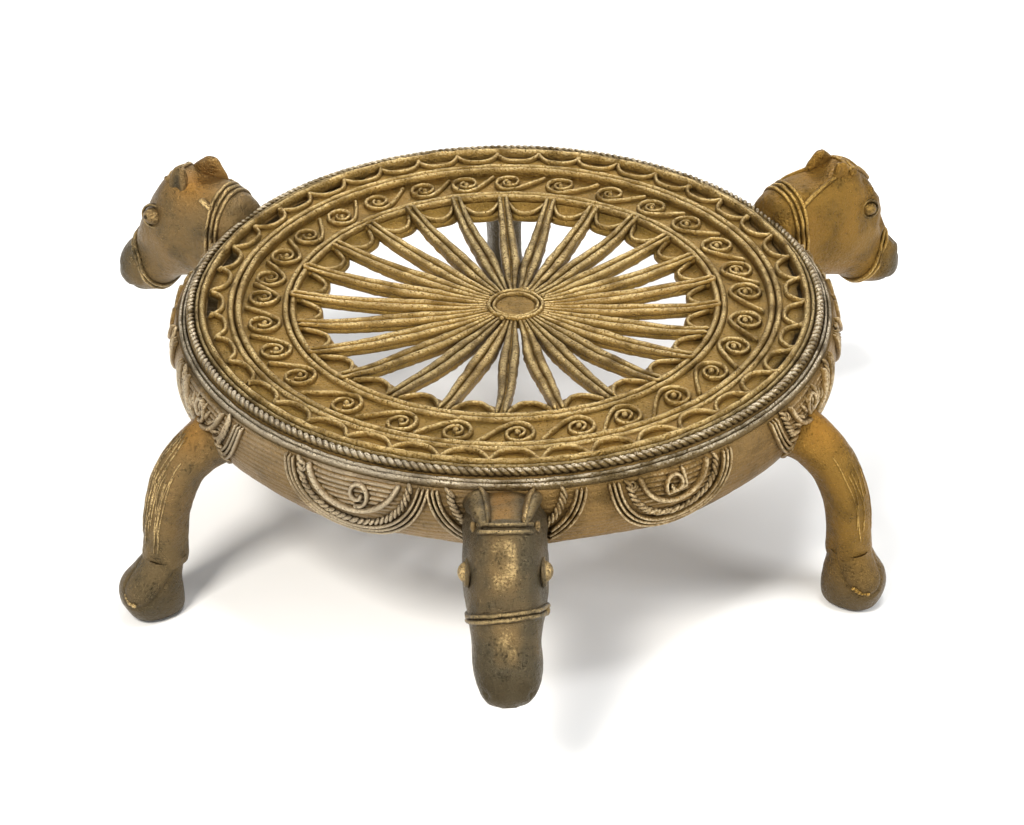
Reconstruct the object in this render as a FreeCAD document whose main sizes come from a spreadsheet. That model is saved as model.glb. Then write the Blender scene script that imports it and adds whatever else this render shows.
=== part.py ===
import FreeCAD, Part
import math
import os
import Sketcher
from FreeCAD import Placement, Rotation, Vector

# A low round stand of cast brass on three legs, with three horse heads at its rim.
# The wax model of such a casting is laid up piece by piece from threads, sheets and rods,
# and each of those pieces is one sub-part here.
# The origin lies on the floor under the middle of the top, +Z is up, and the front head
# looks towards -Y. Azimuths run from the front towards +X.

os.makedirs("parts", exist_ok=True)
doc = FreeCAD.newDocument("Bajot")

# Driving sizes in millimetres and degrees, shares as plain numbers.
SIZES = {
    # radial widths of the top, from the middle outwards
    "button_radius": 6.6,
    "hub_inner_wire_width": 1.5,
    "hub_wire_width": 1.6,
    "hub_side": 3.6,
    "hub_back": 2.3,
    "spoke_reach": 50.3,
    "web_width": 8.9,
    "inner_wire_width": 2.3,
    "scroll_band_width": 13.0,
    "outer_wire_width": 2.5,
    "wave_floor_width": 4.6,
    "wave_band_width": 6.5,
    "rim_width": 4.0,
    "rope_width": 2.5,
    "bead_width": 2.8,
    # heights of the crests above the floor, and how far each seat lies under its crest
    "stand_height": 81.0,
    "rim_rise": 3.6,
    "rim_round": 1.4,
    "rope_drop": 1.1,
    "bead_seat_drop": 6.2,
    "bead_rise": 3.1,
    "outer_ring_drop": 2.0,
    "outer_ring_rise": 2.1,
    "inner_ring_drop": 3.6,
    "inner_ring_rise": 2.1,
    "scroll_floor_drop": 5.1,
    "wave_floor_drop": 3.0,
    "wave_rise": 1.9,
    "web_drop": 7.0,
    "hub_plate_drop": 10.2,
    "hub_wire_rise": 1.8,
    "hub_inner_wire_rise": 1.5,
    "button_rise": 1.1,
    # thicknesses of the laid sheets
    "web_thickness": 2.4,
    "scroll_floor_thickness": 2.6,
    "wave_floor_thickness": 1.7,
    "hub_plate_thickness": 2.0,
    "crest_round_share": 0.52,
    # wires laid on the floors
    "scroll_wire_width": 1.5,
    "scroll_wire_rise": 1.4,
    "scroll_clearance": 0.6,
    "scroll_entry_slope": 52.0,
    "scroll_nub_radius": 0.9,
    "scroll_first_azimuth": 2.5,
    "scallop_wire_width": 1.6,
    "scallop_wire_rise": 1.3,
    "scallop_inset": 1.0,
    "scallop_clearance": 0.3,
    "wave_first_azimuth": 1.2,
    "wave_wire_width": 1.9,
    # spokes
    "spoke_thickness": 3.0,
    "spoke_hub_drop": 9.2,
    "spoke_middle_drop": 8.6,
    "spoke_end_drop": 4.4,
    "spoke_width": 6.9,
    "spoke_first_azimuth": -4.0,
    "ridge_width_share": 0.27,
    "ridge_place_share": 0.32,
    "ridge_rise": 0.7,
    # wall that hangs from the rim
    "shelf_thickness": 3.4,
    "wall_height": 22.0,
    "wall_thickness": 2.8,
    "wall_top_overhang": 0.6,
    "wall_foot_inset": 3.2,
    "wall_bulge_radius": 21.0,
    "edge_arch_depth": 3.0,
    "edge_arch_radius": 66.0,
    # half medallions on the wall
    "relief_rise": 1.2,
    "curl_radius": 3.7,
    "curl_wire_width": 1.5,
    "curl_drop": 4.6,
    "left_medallion_azimuth": -26.0,
    "right_medallion_azimuth": 27.0,
    "plain_arc_half_width": 14.5,
    "plain_arc_depth": 11.0,
    "plain_arc_wire": 2.1,
    "rope_arc_half_width": 18.6,
    "rope_arc_depth": 15.8,
    "rope_arc_wire": 2.6,
    "edge_arc_half_width": 24.0,
    "edge_arc_depth": 20.6,
    "edge_arc_wire": 1.25,
    "edge_arc_gap": 0.2,
    # legs and feet
    "leg_half_width": 6.5,
    "leg_root_drop": 21.5,
    "leg_reach": 25.0,
    "foot_half_width": 9.0,
    "foot_half_length": 10.2,
    "foot_height": 21.0,
    "foot_overhang": 6.2,
    "right_foot_overhang": 2.4,
    # heads
    "head_half_width": 12.4,
    "front_head_reach": 58.5,
    "back_head_reach": 55.0,
    "back_head_rise": 11.0,
    "back_head_depth": 54.0,
    "front_head_drop": 2.0,
    "front_head_depth": 43.5,
    "right_head_azimuth": 118.0,
    "left_head_azimuth": -120.0,
    "ear_length": 21.0,
    "ear_thickness": 5.4,
    "ear_root_depth": 4.0,
    "back_ear_rise": 5.3,
    "front_ear_rise": 3.6,
    "back_ear_spread": 5.4,
    "front_ear_spread": 8.6,
    "back_ear_splay": 6.0,
    "front_ear_splay": 18.0,
    "eye_length": 8.6,
    "eye_width": 5.4,
    "eye_rise": 1.3,
    "band_rise": 0.9,
    "band_wire": 1.5,
    "band_gap": 0.4,
    "cut_margin": 20.0,
}
COUNTS = {"spokes": 25, "scrolls": 29, "waves": 41, "medallions": 12, "limbs": 3}

# Places that follow from the driving sizes, as formulas of the same sheet.
PLACES = {
    "hub_inner_edge": "button_radius + hub_inner_wire_width",
    "hub_edge": "hub_inner_edge + hub_wire_width",
    "opening_radius": "hub_edge + spoke_reach",
    "inner_ring_in": "opening_radius + web_width",
    "inner_ring_mid": "inner_ring_in + inner_wire_width",
    "inner_ring_out": "inner_ring_mid + inner_wire_width",
    "outer_ring_in": "inner_ring_out + scroll_band_width",
    "outer_ring_mid": "outer_ring_in + outer_wire_width",
    "outer_ring_out": "outer_ring_mid + outer_wire_width",
    "wave_floor_out": "outer_ring_out + wave_floor_width",
    "rim_in": "outer_ring_out + wave_band_width",
    "rim_out": "rim_in + rim_width",
    "rope_out": "rim_out + rope_width",
    "bead_out": "rope_out + bead_width",
    "wall_top_radius": "bead_out + wall_top_overhang",
    "wall_foot_radius": "wall_top_radius - wall_foot_inset",
    "rim_seat": "stand_height - rim_rise",
    "rope_crest": "stand_height - rope_drop",
    "bead_seat": "stand_height - bead_seat_drop",
    "bead_crest": "bead_seat + bead_rise",
    "shelf_under": "rim_seat - shelf_thickness",
    "wall_foot": "bead_seat - wall_height",
    "outer_crest": "stand_height - outer_ring_drop",
    "outer_seat": "outer_crest - outer_ring_rise",
    "inner_crest": "stand_height - inner_ring_drop",
    "inner_seat": "inner_crest - inner_ring_rise",
    "scroll_floor": "stand_height - scroll_floor_drop",
    "scroll_under": "scroll_floor - scroll_floor_thickness",
    "wave_floor": "stand_height - wave_floor_drop",
    "wave_under": "wave_floor - wave_floor_thickness",
    "web_floor": "stand_height - web_drop",
    "web_under": "web_floor - web_thickness",
    "hub_floor": "stand_height - hub_plate_drop",
    "hub_under": "hub_floor - hub_plate_thickness",
    "hub_crest": "hub_floor + hub_wire_rise",
    "hub_inner_crest": "hub_floor + hub_inner_wire_rise",
    "button_crest": "hub_floor + button_rise",
    "leg_root_height": "stand_height - leg_root_drop",
    "back_head_top": "stand_height + back_head_rise",
    "back_head_chin": "back_head_top - back_head_depth",
    "front_head_top": "stand_height - front_head_drop",
    "front_head_chin": "front_head_top - front_head_depth",
}

sheet = doc.addObject("Spreadsheet::Sheet", "Sizes")
rows = dict(SIZES)
rows.update(COUNTS)
rows.update({name: "=" + formula for name, formula in PLACES.items()})
for row, (name, value) in enumerate(rows.items(), 1):
    sheet.set("A%d" % row, name)
    sheet.set("B%d" % row, str(value))
    sheet.setAlias("B%d" % row, name)
doc.recompute()
size = {name: float(sheet.get(name)) for name in rows}
pieces = []


def keep(item, label):
    """Gives a finished sub-part its name and puts it on the list to export."""
    item.Label = label
    pieces.append(item)
    return item


def shape_piece(label, shape, azimuth=0.0):
    """A sub-part whose shape has no ready-made feature, turned to its azimuth."""
    item = doc.addObject("Part::Feature", label)
    item.Shape = shape
    item.Placement = Placement(Vector(), Rotation(Vector(0, 0, 1), azimuth))
    return keep(item, label)


def polar(radius, azimuth, height):
    """The point at this radius and azimuth, where azimuth 0 is the front."""
    turn = math.radians(azimuth)
    return Vector(radius * math.sin(turn), -radius * math.cos(turn), height)


def around(shapes, azimuths):
    """Copies of shapes drawn at the front, turned to each azimuth."""
    copies = []
    for azimuth in azimuths:
        for shape in shapes:
            copy = shape.copy()
            copy.rotate(Vector(), Vector(0, 0, 1), azimuth)
            copies.append(copy)
    return copies


def steps(count, first=0.0):
    """The azimuths of so many like pieces, from the first one on."""
    return [first + 360.0 * index / count for index in range(int(count))]


# Turned rings. Each is a half section drawn in the XZ plane and revolved about Z.

def turned(label, corners, arcs=()):
    """A body revolved from a half section whose corners are pairs of names in the sheet.

    arcs lists the sides that are arcs: the number of the corner that the side starts at,
    the formula of its radius and the radius.
    """
    body = doc.addObject("PartDesign::Body", label + "_body")
    plane = [part for part in body.Origin.OriginFeatures if part.Role == "XZ_Plane"][0]
    sketch = body.newObject("Sketcher::SketchObject", label + "_section")
    sketch.AttachmentSupport = (plane, "")
    sketch.MapMode = "FlatFace"
    bends = {side: (formula, radius) for side, formula, radius in arcs}
    points = [Vector(size_of(radius), size_of(height), 0) for radius, height in corners]
    count = len(points)
    ends = []
    for side in range(count):
        start = points[side]
        stop = points[(side + 1) % count]
        if side not in bends:
            sketch.addGeometry(Part.LineSegment(start, stop), False)
            ends.append((1, 2))
            continue
        radius = bends[side][1]
        centre = arc_centre(start, stop, radius)
        first = math.atan2(start.y - centre.y, start.x - centre.x)
        last = math.atan2(stop.y - centre.y, stop.x - centre.x)
        circle = Part.Circle(centre, Vector(0, 0, 1), radius)
        sketch.addGeometry(Part.ArcOfCircle(circle, first, last), False)
        ends.append((1, 2))
        row = sketch.addConstraint(Sketcher.Constraint("Radius", side, radius))
        sketch.setExpression("Constraints[%d]" % row, bends[side][0])
    for side in range(count):
        after = (side + 1) % count
        link = ("Coincident", side, ends[side][1], after, ends[after][0])
        sketch.addConstraint(Sketcher.Constraint(*link))
    for side, (radius, height) in enumerate(corners):
        for kind, name in (("DistanceX", radius), ("DistanceY", height)):
            value = size_of(name)
            row = sketch.addConstraint(Sketcher.Constraint(kind, -1, 1, side, 1, value))
            sketch.setExpression("Constraints[%d]" % row, formula_of(name))
    revolution = body.newObject("PartDesign::Revolution", label + "_turn")
    revolution.Profile = sketch
    revolution.ReferenceAxis = (sketch, ["V_Axis"])
    revolution.Angle = 360
    body.Tip = revolution
    sketch.Visibility = False
    return body


def arc_centre(start, stop, radius):
    """The centre of the arc that runs counter-clockwise from start to stop."""
    half = (stop - start) * 0.5
    left = Vector(-half.y, half.x, 0).normalize()
    return start + half + left * math.sqrt(radius ** 2 - half.Length ** 2)


def size_of(name):
    """The value of a sheet name, or of a name with a share of another added to it."""
    if isinstance(name, str):
        return size[name]
    base, other, sign = name
    return size[base] + sign * other[1]


def formula_of(name):
    """The expression that binds a constraint to the sheet."""
    if isinstance(name, str):
        return "Sizes." + name
    base, other, sign = name
    return "Sizes.%s %s (%s)" % (base, "+" if sign > 0 else "-", other[0])


def thread_ring(label, inner, outer, seat, crest):
    """A wax thread laid as a ring: flat below, upright sides and a rounded crest."""
    width = size[outer] - size[inner]
    share = size["crest_round_share"]
    radius = width * share
    sagitta = radius - math.sqrt(radius ** 2 - width ** 2 / 4)
    width_text = "(Sizes.%s - Sizes.%s)" % (outer, inner)
    radius_text = width_text + " * Sizes.crest_round_share"
    sagitta_text = "%s - sqrt((%s)^2 - %s^2 / 4)" % (radius_text, radius_text, width_text)
    shoulder = (crest, (sagitta_text, sagitta), -1)
    corners = [(inner, seat), (outer, seat), (outer, shoulder), (inner, shoulder)]
    return keep(turned(label, corners, [(2, radius_text, radius)]), label)


def band(label, inner, outer, under, top):
    """A flat ring of sheet wax."""
    corners = [(inner, under), (outer, under), (outer, top), (inner, top)]
    return turned(label, corners)


# Hub: a round plate, two threads laid round on it side by side and a low button inside
# them. It was laid a little to the right of the middle and behind it.

def on_hub(item):
    item.setExpression(".Placement.Base.x", "Sizes.hub_side")
    item.setExpression(".Placement.Base.y", "Sizes.hub_back")
    return item


hub_plate = on_hub(doc.addObject("Part::Cylinder", "hub_plate"))
hub_plate.setExpression("Radius", "Sizes.hub_edge")
hub_plate.setExpression("Height", "Sizes.hub_plate_thickness")
hub_plate.setExpression(".Placement.Base.z", "Sizes.hub_under")
keep(hub_plate, "hub_plate")
hub_button = on_hub(doc.addObject("Part::Cylinder", "hub_button"))
hub_button.setExpression("Radius", "Sizes.button_radius")
hub_button.setExpression("Height", "Sizes.button_rise")
hub_button.setExpression(".Placement.Base.z", "Sizes.hub_floor")
keep(hub_button, "hub_button")
on_hub(thread_ring("hub_inner_ring", "button_radius", "hub_inner_edge", "hub_floor",
                   "hub_inner_crest"))
on_hub(thread_ring("hub_ring", "hub_inner_edge", "hub_edge", "hub_floor", "hub_crest"))

# Floors of the top: the web round the opening, the floor of the scrolls and the narrow
# floor under the wave threads. The rings of threads stand on them.
web_corners = [("opening_radius", "web_under"), ("inner_ring_out", "web_under"),
               ("inner_ring_out", "inner_seat"), ("inner_ring_in", "inner_seat"),
               ("inner_ring_in", "web_floor"), ("opening_radius", "web_floor")]
web_ring = keep(turned("web_ring", web_corners), "web_ring")
scroll_corners = [("inner_ring_out", "scroll_under"), ("outer_ring_out", "scroll_under"),
                  ("outer_ring_out", "outer_seat"), ("outer_ring_in", "outer_seat"),
                  ("outer_ring_in", "scroll_floor"), ("inner_ring_out", "scroll_floor")]
keep(turned("scroll_floor_ring", scroll_corners), "scroll_floor_ring")
keep(band("wave_floor_ring", "outer_ring_out", "wave_floor_out", "wave_under", "wave_floor"),
     "wave_floor_ring")
thread_ring("inner_ring_thread", "inner_ring_in", "inner_ring_mid", "inner_seat", "inner_crest")
thread_ring("inner_ring_outer_thread", "inner_ring_mid", "inner_ring_out", "inner_seat",
            "inner_crest")
thread_ring("outer_ring_thread", "outer_ring_in", "outer_ring_mid", "outer_seat", "outer_crest")
thread_ring("outer_ring_outer_thread", "outer_ring_mid", "outer_ring_out", "outer_seat",
            "outer_crest")

# Rim: a thick thread with a worn flat crest, a rope outside it and a smooth bead below.
rim_corners = [("rim_in", "rim_seat"), ("rim_out", "rim_seat"),
               ("rim_out", "stand_height"), ("rim_in", "stand_height")]
rim_body = turned("rim_thread", rim_corners)
doc.recompute()
rim_blank = rim_body.Tip
rim_edges = []
for index, edge in enumerate(rim_blank.Shape.Edges):
    below_crest = size["stand_height"] - edge.CenterOfMass.z
    if len(edge.Vertexes) == 1 and below_crest < size["rim_rise"] / 2:
        rim_edges.append("Edge%d" % (index + 1))
rim_round = rim_body.newObject("PartDesign::Fillet", "rim_thread_round")
rim_round.Base = (rim_blank, rim_edges)
rim_round.setExpression("Radius", "Sizes.rim_round")
rim_body.Tip = rim_round
keep(rim_body, "rim_thread")
thread_ring("rope_ring", "rim_out", "rope_out", "rim_seat", "rope_crest")
thread_ring("bead_ring", "rope_out", "bead_out", "bead_seat", "bead_crest")

# Wall that hangs from the rim: a shelf carries the rim, and the wall bulges below it.
# Its lower edge is raised in a shallow arch between the half medallions.
bulge = size["wall_bulge_radius"]
wall_step = ("Sizes.wall_thickness", size["wall_thickness"])
wall_corners = [(("wall_foot_radius", wall_step, -1), "wall_foot"),
                ("wall_foot_radius", "wall_foot"), ("wall_top_radius", "bead_seat"),
                ("rope_out", "bead_seat"), ("rope_out", "rim_seat"), ("rim_in", "rim_seat"),
                ("rim_in", "shelf_under"), (("wall_top_radius", wall_step, -1), "shelf_under")]
wall_body = turned("wall_blank", wall_corners, [(1, "Sizes.wall_bulge_radius", bulge)])
arches = []
for index, azimuth in enumerate(steps(COUNTS["medallions"] // 2)):
    arch = doc.addObject("Part::Cylinder", "edge_arch_%d" % index)
    arch.setExpression("Radius", "Sizes.edge_arch_radius")
    arch.setExpression("Height", "2 * (Sizes.wall_top_radius + Sizes.cut_margin)")
    azimuth += 180.0 / COUNTS["medallions"]
    reach = size["wall_top_radius"] + size["cut_margin"]
    height = size["wall_foot"] + size["edge_arch_depth"] - size["edge_arch_radius"]
    lay = Rotation(Vector(0, 0, 1), azimuth) * Rotation(Vector(1, 0, 0), 90)
    arch.Placement = Placement(polar(-reach, azimuth, height), lay)
    arches.append(arch)
arch_tool = doc.addObject("Part::MultiFuse", "edge_arches")
arch_tool.Shapes = arches
wall = doc.addObject("Part::Cut", "wall")
wall.Base = wall_body
wall.Tool = arch_tool
keep(wall, "wall")
doc.recompute()


# Threads laid on the floors. Each is drawn at the front, where the radius runs along -Y.

def front_point(radius, side, height):
    """A point at the front, side of the middle line by so much."""
    return Vector(side, -radius, height)


def laid_thread(path, width, rise):
    """A thread along a flat path: flat below, upright sides and a rounded crest."""
    first = path.Edges[0]
    start = first.valueAt(first.FirstParameter)
    along = first.tangentAt(first.FirstParameter)
    across = Vector(0, 0, 1).cross(along).normalize() * (width / 2)
    share = size["crest_round_share"]
    sagitta = width * (share - math.sqrt(share ** 2 - 0.5 ** 2))
    upright = Vector(0, 0, rise - sagitta)
    corners = [start - across, start + across, start + across + upright,
               start - across + upright]
    crest = start + Vector(0, 0, rise)
    edges = [Part.LineSegment(corners[3], corners[0]).toShape(),
             Part.LineSegment(corners[0], corners[1]).toShape(),
             Part.LineSegment(corners[1], corners[2]).toShape(),
             Part.Arc(corners[2], crest, corners[3]).toShape()]
    shell = Part.BRepOffsetAPI.MakePipeShell(path)
    shell.setBiNormalMode(Vector(0, 0, 1))
    shell.add(Part.Wire(edges))
    shell.build()
    shell.makeSolid()
    return shell.shape()


def prism(points, low, high):
    """An upright prism over the outline, from one height to another."""
    outline = [Vector(point.x, point.y, low) for point in points]
    face = Part.Face(Part.makePolygon(outline + outline[:1]))
    return face.extrude(Vector(0, 0, high - low))


def biggest(shape):
    """The largest solid of a shape, without the slivers that a cut can leave."""
    return max(shape.Solids, key=lambda solid: solid.Volume)


# Spokes: bars that sag between the hub and the inner ring, widest a third of the way out
# where they touch, with two ridge threads on each. Their outer ends lie on the web.
hub = Vector(size["hub_side"], size["hub_back"], 0)
hub_edge = size["hub_edge"]
web_edge = size["inner_ring_in"]
spoke_azimuths = steps(COUNTS["spokes"], size["spoke_first_azimuth"])
# Shares of a spoke's length, and of its greatest width there.
SPOKE_PLAN_SHARES = [(0.0, 0.31), (0.33, 0.97), (0.44, 1.0), (0.66, 0.86), (0.86, 0.70), (1.0, 0.64)]


def ring_reach(azimuth, radius):
    """How far it is from the hub's middle, at this azimuth, to a circle about the origin."""
    along = polar(1, azimuth, 0)
    ahead = hub.dot(along)
    return math.sqrt(ahead ** 2 + radius ** 2 - hub.Length ** 2) - ahead


def from_hub(shape, azimuth):
    """A shape drawn along the front from the origin, moved to the hub and turned."""
    return shape.transformed(Placement(hub, Rotation(Vector(0, 0, 1), azimuth)).toMatrix())


def spoke_outline(end, place_share, width_share):
    """The plan of a spoke, or of a thread along it, a little longer than the spoke."""
    stations = [(hub_edge + along * (end - hub_edge), size["spoke_width"] * across)
                for along, across in SPOKE_PLAN_SHARES]
    stations.insert(0, (size["button_radius"], stations[0][1]))
    stations.append((end + size["inner_wire_width"], stations[-1][1]))
    left = [front_point(reach, width * (place_share - width_share / 2), 0)
            for reach, width in stations]
    right = [front_point(reach, width * (place_share + width_share / 2), 0)
             for reach, width in stations]
    return prism(left + right[::-1], size["wall_foot"], size["stand_height"])


def sag_slab(end, lower, upper):
    """A slab that follows the sag of a spoke, between two rises over its top."""
    middle = (hub_edge + end) / 2
    tops = [Vector(hub_edge, size["stand_height"] - size["spoke_hub_drop"], 0),
            Vector(middle, size["stand_height"] - size["spoke_middle_drop"], 0),
            Vector(end, size["stand_height"] - size["spoke_end_drop"], 0)]
    circle = Part.Arc(tops[0], tops[1], tops[2]).toShape().Curve
    centre = circle.Center
    edges = []
    ends = []
    for rise in (lower, upper):
        radius = circle.Radius - rise
        points = []
        for reach in (size["button_radius"], middle, end + size["inner_wire_width"]):
            drop = math.sqrt(radius ** 2 - (reach - centre.x) ** 2)
            points.append(front_point(reach, 0, centre.y - drop))
        edges.append(Part.Arc(points[0], points[1], points[2]).toShape())
        ends.append((points[0], points[2]))
    for side in (0, 1):
        edges.append(Part.LineSegment(ends[0][side], ends[1][side]).toShape())
    face = Part.Face(Part.Wire(Part.__sortEdges__(edges)))
    face.translate(Vector(-size["spoke_width"], 0, 0))
    return face.extrude(Vector(2 * size["spoke_width"], 0, 0))


doc.recompute()
hub_core = Part.makeCylinder(hub_edge, size["stand_height"], hub)
reach_core = Part.makeCylinder(web_edge, size["stand_height"])
spokes = []
ridges = []
for azimuth in spoke_azimuths:
    end = ring_reach(azimuth, web_edge)
    bar = spoke_outline(end, 0, 1).common(sag_slab(end, -size["spoke_thickness"], 0))
    bar = from_hub(bar, azimuth).common(reach_core)
    spokes.append(biggest(bar.cut([hub_core, web_ring.Shape])))
    ridge_slab = sag_slab(end, 0, size["ridge_rise"])
    for side in (-1, 1):
        ridge = spoke_outline(end, side * size["ridge_place_share"], size["ridge_width_share"])
        ridge = from_hub(ridge.common(ridge_slab), azimuth).common(reach_core)
        ridges.append(biggest(ridge.cut(hub_core)))
shape_piece("spokes", Part.makeCompound(spokes))
shape_piece("spoke_ridge_threads", Part.makeCompound(ridges))

# Scallops: on the web, a thread that hangs inwards between the ends of every two spokes.
scallop_crest = size["opening_radius"] + size["scallop_inset"]
scallop_end = web_edge - size["scallop_wire_width"]
end_half = size["spoke_width"] * SPOKE_PLAN_SHARES[-1][1] / 2
end_room = end_half + size["scallop_wire_width"] / 2 + size["scallop_clearance"]
ends = []
for azimuth in spoke_azimuths:
    tip = hub + polar(ring_reach(azimuth, web_edge), azimuth, 0)
    ends.append(math.degrees(math.atan2(tip.x, -tip.y)))
scallops = []
for index, azimuth in enumerate(ends):
    gap = (ends[(index + 1) % len(ends)] - azimuth) % 360
    half = scallop_end * math.sin(math.radians(gap / 2)) - end_room
    path = Part.Wire([Part.Arc(front_point(scallop_end, -half, size["web_floor"]),
                               front_point(scallop_crest, 0, size["web_floor"]),
                               front_point(scallop_end, half, size["web_floor"])).toShape()])
    thread = laid_thread(path, size["scallop_wire_width"], size["scallop_wire_rise"])
    scallops += around([thread], [azimuth + gap / 2])
shape_piece("web_scallops", Part.makeCompound(scallops))

# Scrolls: a thread that comes in slanting from the outer ring and curls up, with a nub
# at the middle of each curl.
scroll_middle = (size["inner_ring_out"] + size["outer_ring_in"]) / 2
scroll_half = (size["scroll_band_width"] - size["scroll_wire_width"]) / 2 - size["scroll_clearance"]
CURL_SHARES = (0.86, 0.63, 0.42)
ENTRY_RADIUS_SHARE = 1.25


def curl_arcs(start, turn_radii, height, flip):
    """Half turns of ever smaller radius, from an inward point round to the middle."""
    edges = []
    side, depth = start
    for index, radius in enumerate(turn_radii):
        out = 1 if index % 2 == 0 else -1
        last = depth + out * 2 * radius
        edges.append(Part.Arc(flip(side, depth, height),
                              flip(side + out * radius, depth + out * radius, height),
                              flip(side, last, height)).toShape())
        depth = last
    return edges, (side, depth - out * turn_radii[-1])


def scroll_point(side, depth, height):
    return front_point(scroll_middle + depth, side, height)


slope = math.radians(size["scroll_entry_slope"])
entry_radius = scroll_half * ENTRY_RADIUS_SHARE
straight_drop = 2 * scroll_half - entry_radius * (1 - math.cos(slope))
entry_length = straight_drop / math.tan(slope) + entry_radius * math.sin(slope)
entry_start = (-entry_length / 2, scroll_half)
entry_bend = (entry_start[0] + straight_drop / math.tan(slope), scroll_half - straight_drop)
entry_end = (entry_start[0] + entry_length, -scroll_half)
bend_middle = (entry_end[0] - entry_radius * math.sin(slope / 2),
               entry_radius * (1 - math.cos(slope / 2)) - scroll_half)
floor = size["scroll_floor"]
scroll_edges = [
    Part.LineSegment(scroll_point(*entry_start, floor), scroll_point(*entry_bend, floor)).toShape(),
    Part.Arc(scroll_point(*entry_bend, floor), scroll_point(*bend_middle, floor),
             scroll_point(*entry_end, floor)).toShape()]
radii = [scroll_half * share for share in CURL_SHARES]
curls, curl_middle = curl_arcs(entry_end, radii, floor, scroll_point)
scroll = laid_thread(Part.Wire(scroll_edges + curls), size["scroll_wire_width"],
                     size["scroll_wire_rise"])
nub = Part.makeCylinder(size["scroll_nub_radius"], size["scroll_wire_rise"],
                        scroll_point(*curl_middle, floor))
curl_azimuth = math.degrees(math.atan2(curl_middle[0], scroll_middle))
scroll_azimuths = steps(COUNTS["scrolls"], size["scroll_first_azimuth"] - curl_azimuth)
shape_piece("scroll_threads", Part.makeCompound(around([scroll], scroll_azimuths)))
shape_piece("scroll_nubs", Part.makeCompound(around([nub], scroll_azimuths)))

# Wave: loops of thread between the outer ring and the rim, each in its own sector.
wave_half = 180.0 / COUNTS["waves"]
sector_reach = size["rim_out"]
sector_side = sector_reach * math.tan(math.radians(wave_half))
sector = prism([front_point(0, 0, 0), front_point(sector_reach, sector_side, 0),
                front_point(sector_reach, -sector_side, 0)],
               size["wave_under"], size["stand_height"])
sector = sector.common(Part.makeCylinder(size["rim_in"], size["stand_height"]))
wave_end = size["rim_in"] + size["wave_wire_width"] / 2
wave_crest = size["outer_ring_out"] + size["wave_wire_width"] / 2
wave_side = math.pi * size["rim_in"] / COUNTS["waves"]
wave_path = Part.Wire([Part.Arc(
    front_point(wave_end, -wave_side, size["wave_floor"]),
    front_point(wave_crest, 0, size["wave_floor"]),
    front_point(wave_end, wave_side, size["wave_floor"])).toShape()])
wave = laid_thread(wave_path, size["wave_wire_width"], size["wave_rise"])
wave = biggest(wave.common(sector))
wave_azimuths = steps(COUNTS["waves"], size["wave_first_azimuth"])
shape_piece("wave_threads", Part.makeCompound(around([wave], wave_azimuths)))


# Half medallions: threads in relief on the bulging wall, hung from the bead.

def wall_arc(extra):
    """The wall's outer arc moved outwards, as its two ends and its middle in the XZ plane."""
    foot = Vector(size["wall_foot_radius"], size["wall_foot"], 0)
    top = Vector(size["wall_top_radius"], size["bead_seat"], 0)
    centre = arc_centre(foot, top, bulge)
    return [centre + (point - centre).normalize() * (bulge + extra)
            for point in (foot, (foot + top) * 0.5, top)]


def revolved(edges):
    """A solid turned about Z from edges drawn in the XZ plane as X, Y."""
    face = Part.Face(Part.Wire(Part.__sortEdges__(edges)))
    face.rotate(Vector(), Vector(1, 0, 0), 90)
    return face.revolve(Vector(), Vector(0, 0, 1), 360)


skin = wall_arc(0)
proud = wall_arc(size["relief_rise"])
relief_zone = revolved([Part.Arc(*skin).toShape(), Part.Arc(*proud).toShape(),
                        Part.LineSegment(skin[0], proud[0]).toShape(),
                        Part.LineSegment(skin[2], proud[2]).toShape()])
zone_cap = Part.makeCylinder(size["wall_top_radius"] + size["cut_margin"],
                             size["bead_seat"] - size["wall_foot"],
                             Vector(0, 0, size["wall_foot"]))
relief_zone = relief_zone.common(zone_cap)
relief_back = size["wall_foot_radius"] - size["cut_margin"]
relief_reach = Vector(0, -2 * size["cut_margin"], 0)


def relief_disc(radius, height):
    """A round bar along the radius, with its axis at this height."""
    return Part.makeCylinder(radius, relief_reach.Length, Vector(0, -relief_back, height),
                             Vector(0, -1, 0))


def relief_arc(half_width, depth, wire):
    """A thread bent under the bead from side to side, as relief on the wall."""
    radius = (half_width ** 2 + depth ** 2) / (2 * depth)
    middle = size["bead_seat"] - depth + radius
    ring = relief_disc(radius, middle).cut(relief_disc(radius - wire, middle))
    return ring.common(relief_zone)


plain_arc = relief_arc(size["plain_arc_half_width"], size["plain_arc_depth"],
                       size["plain_arc_wire"])
rope_arc = relief_arc(size["rope_arc_half_width"], size["rope_arc_depth"],
                      size["rope_arc_wire"])
edge_arcs = []
for index in range(3):
    inset = index * (size["edge_arc_wire"] + size["edge_arc_gap"])
    edge_arcs.append(relief_arc(size["edge_arc_half_width"] - inset,
                                size["edge_arc_depth"] - inset, size["edge_arc_wire"]))


def curl_point(side, depth, height):
    return Vector(side, -relief_back, height + depth)


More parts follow.
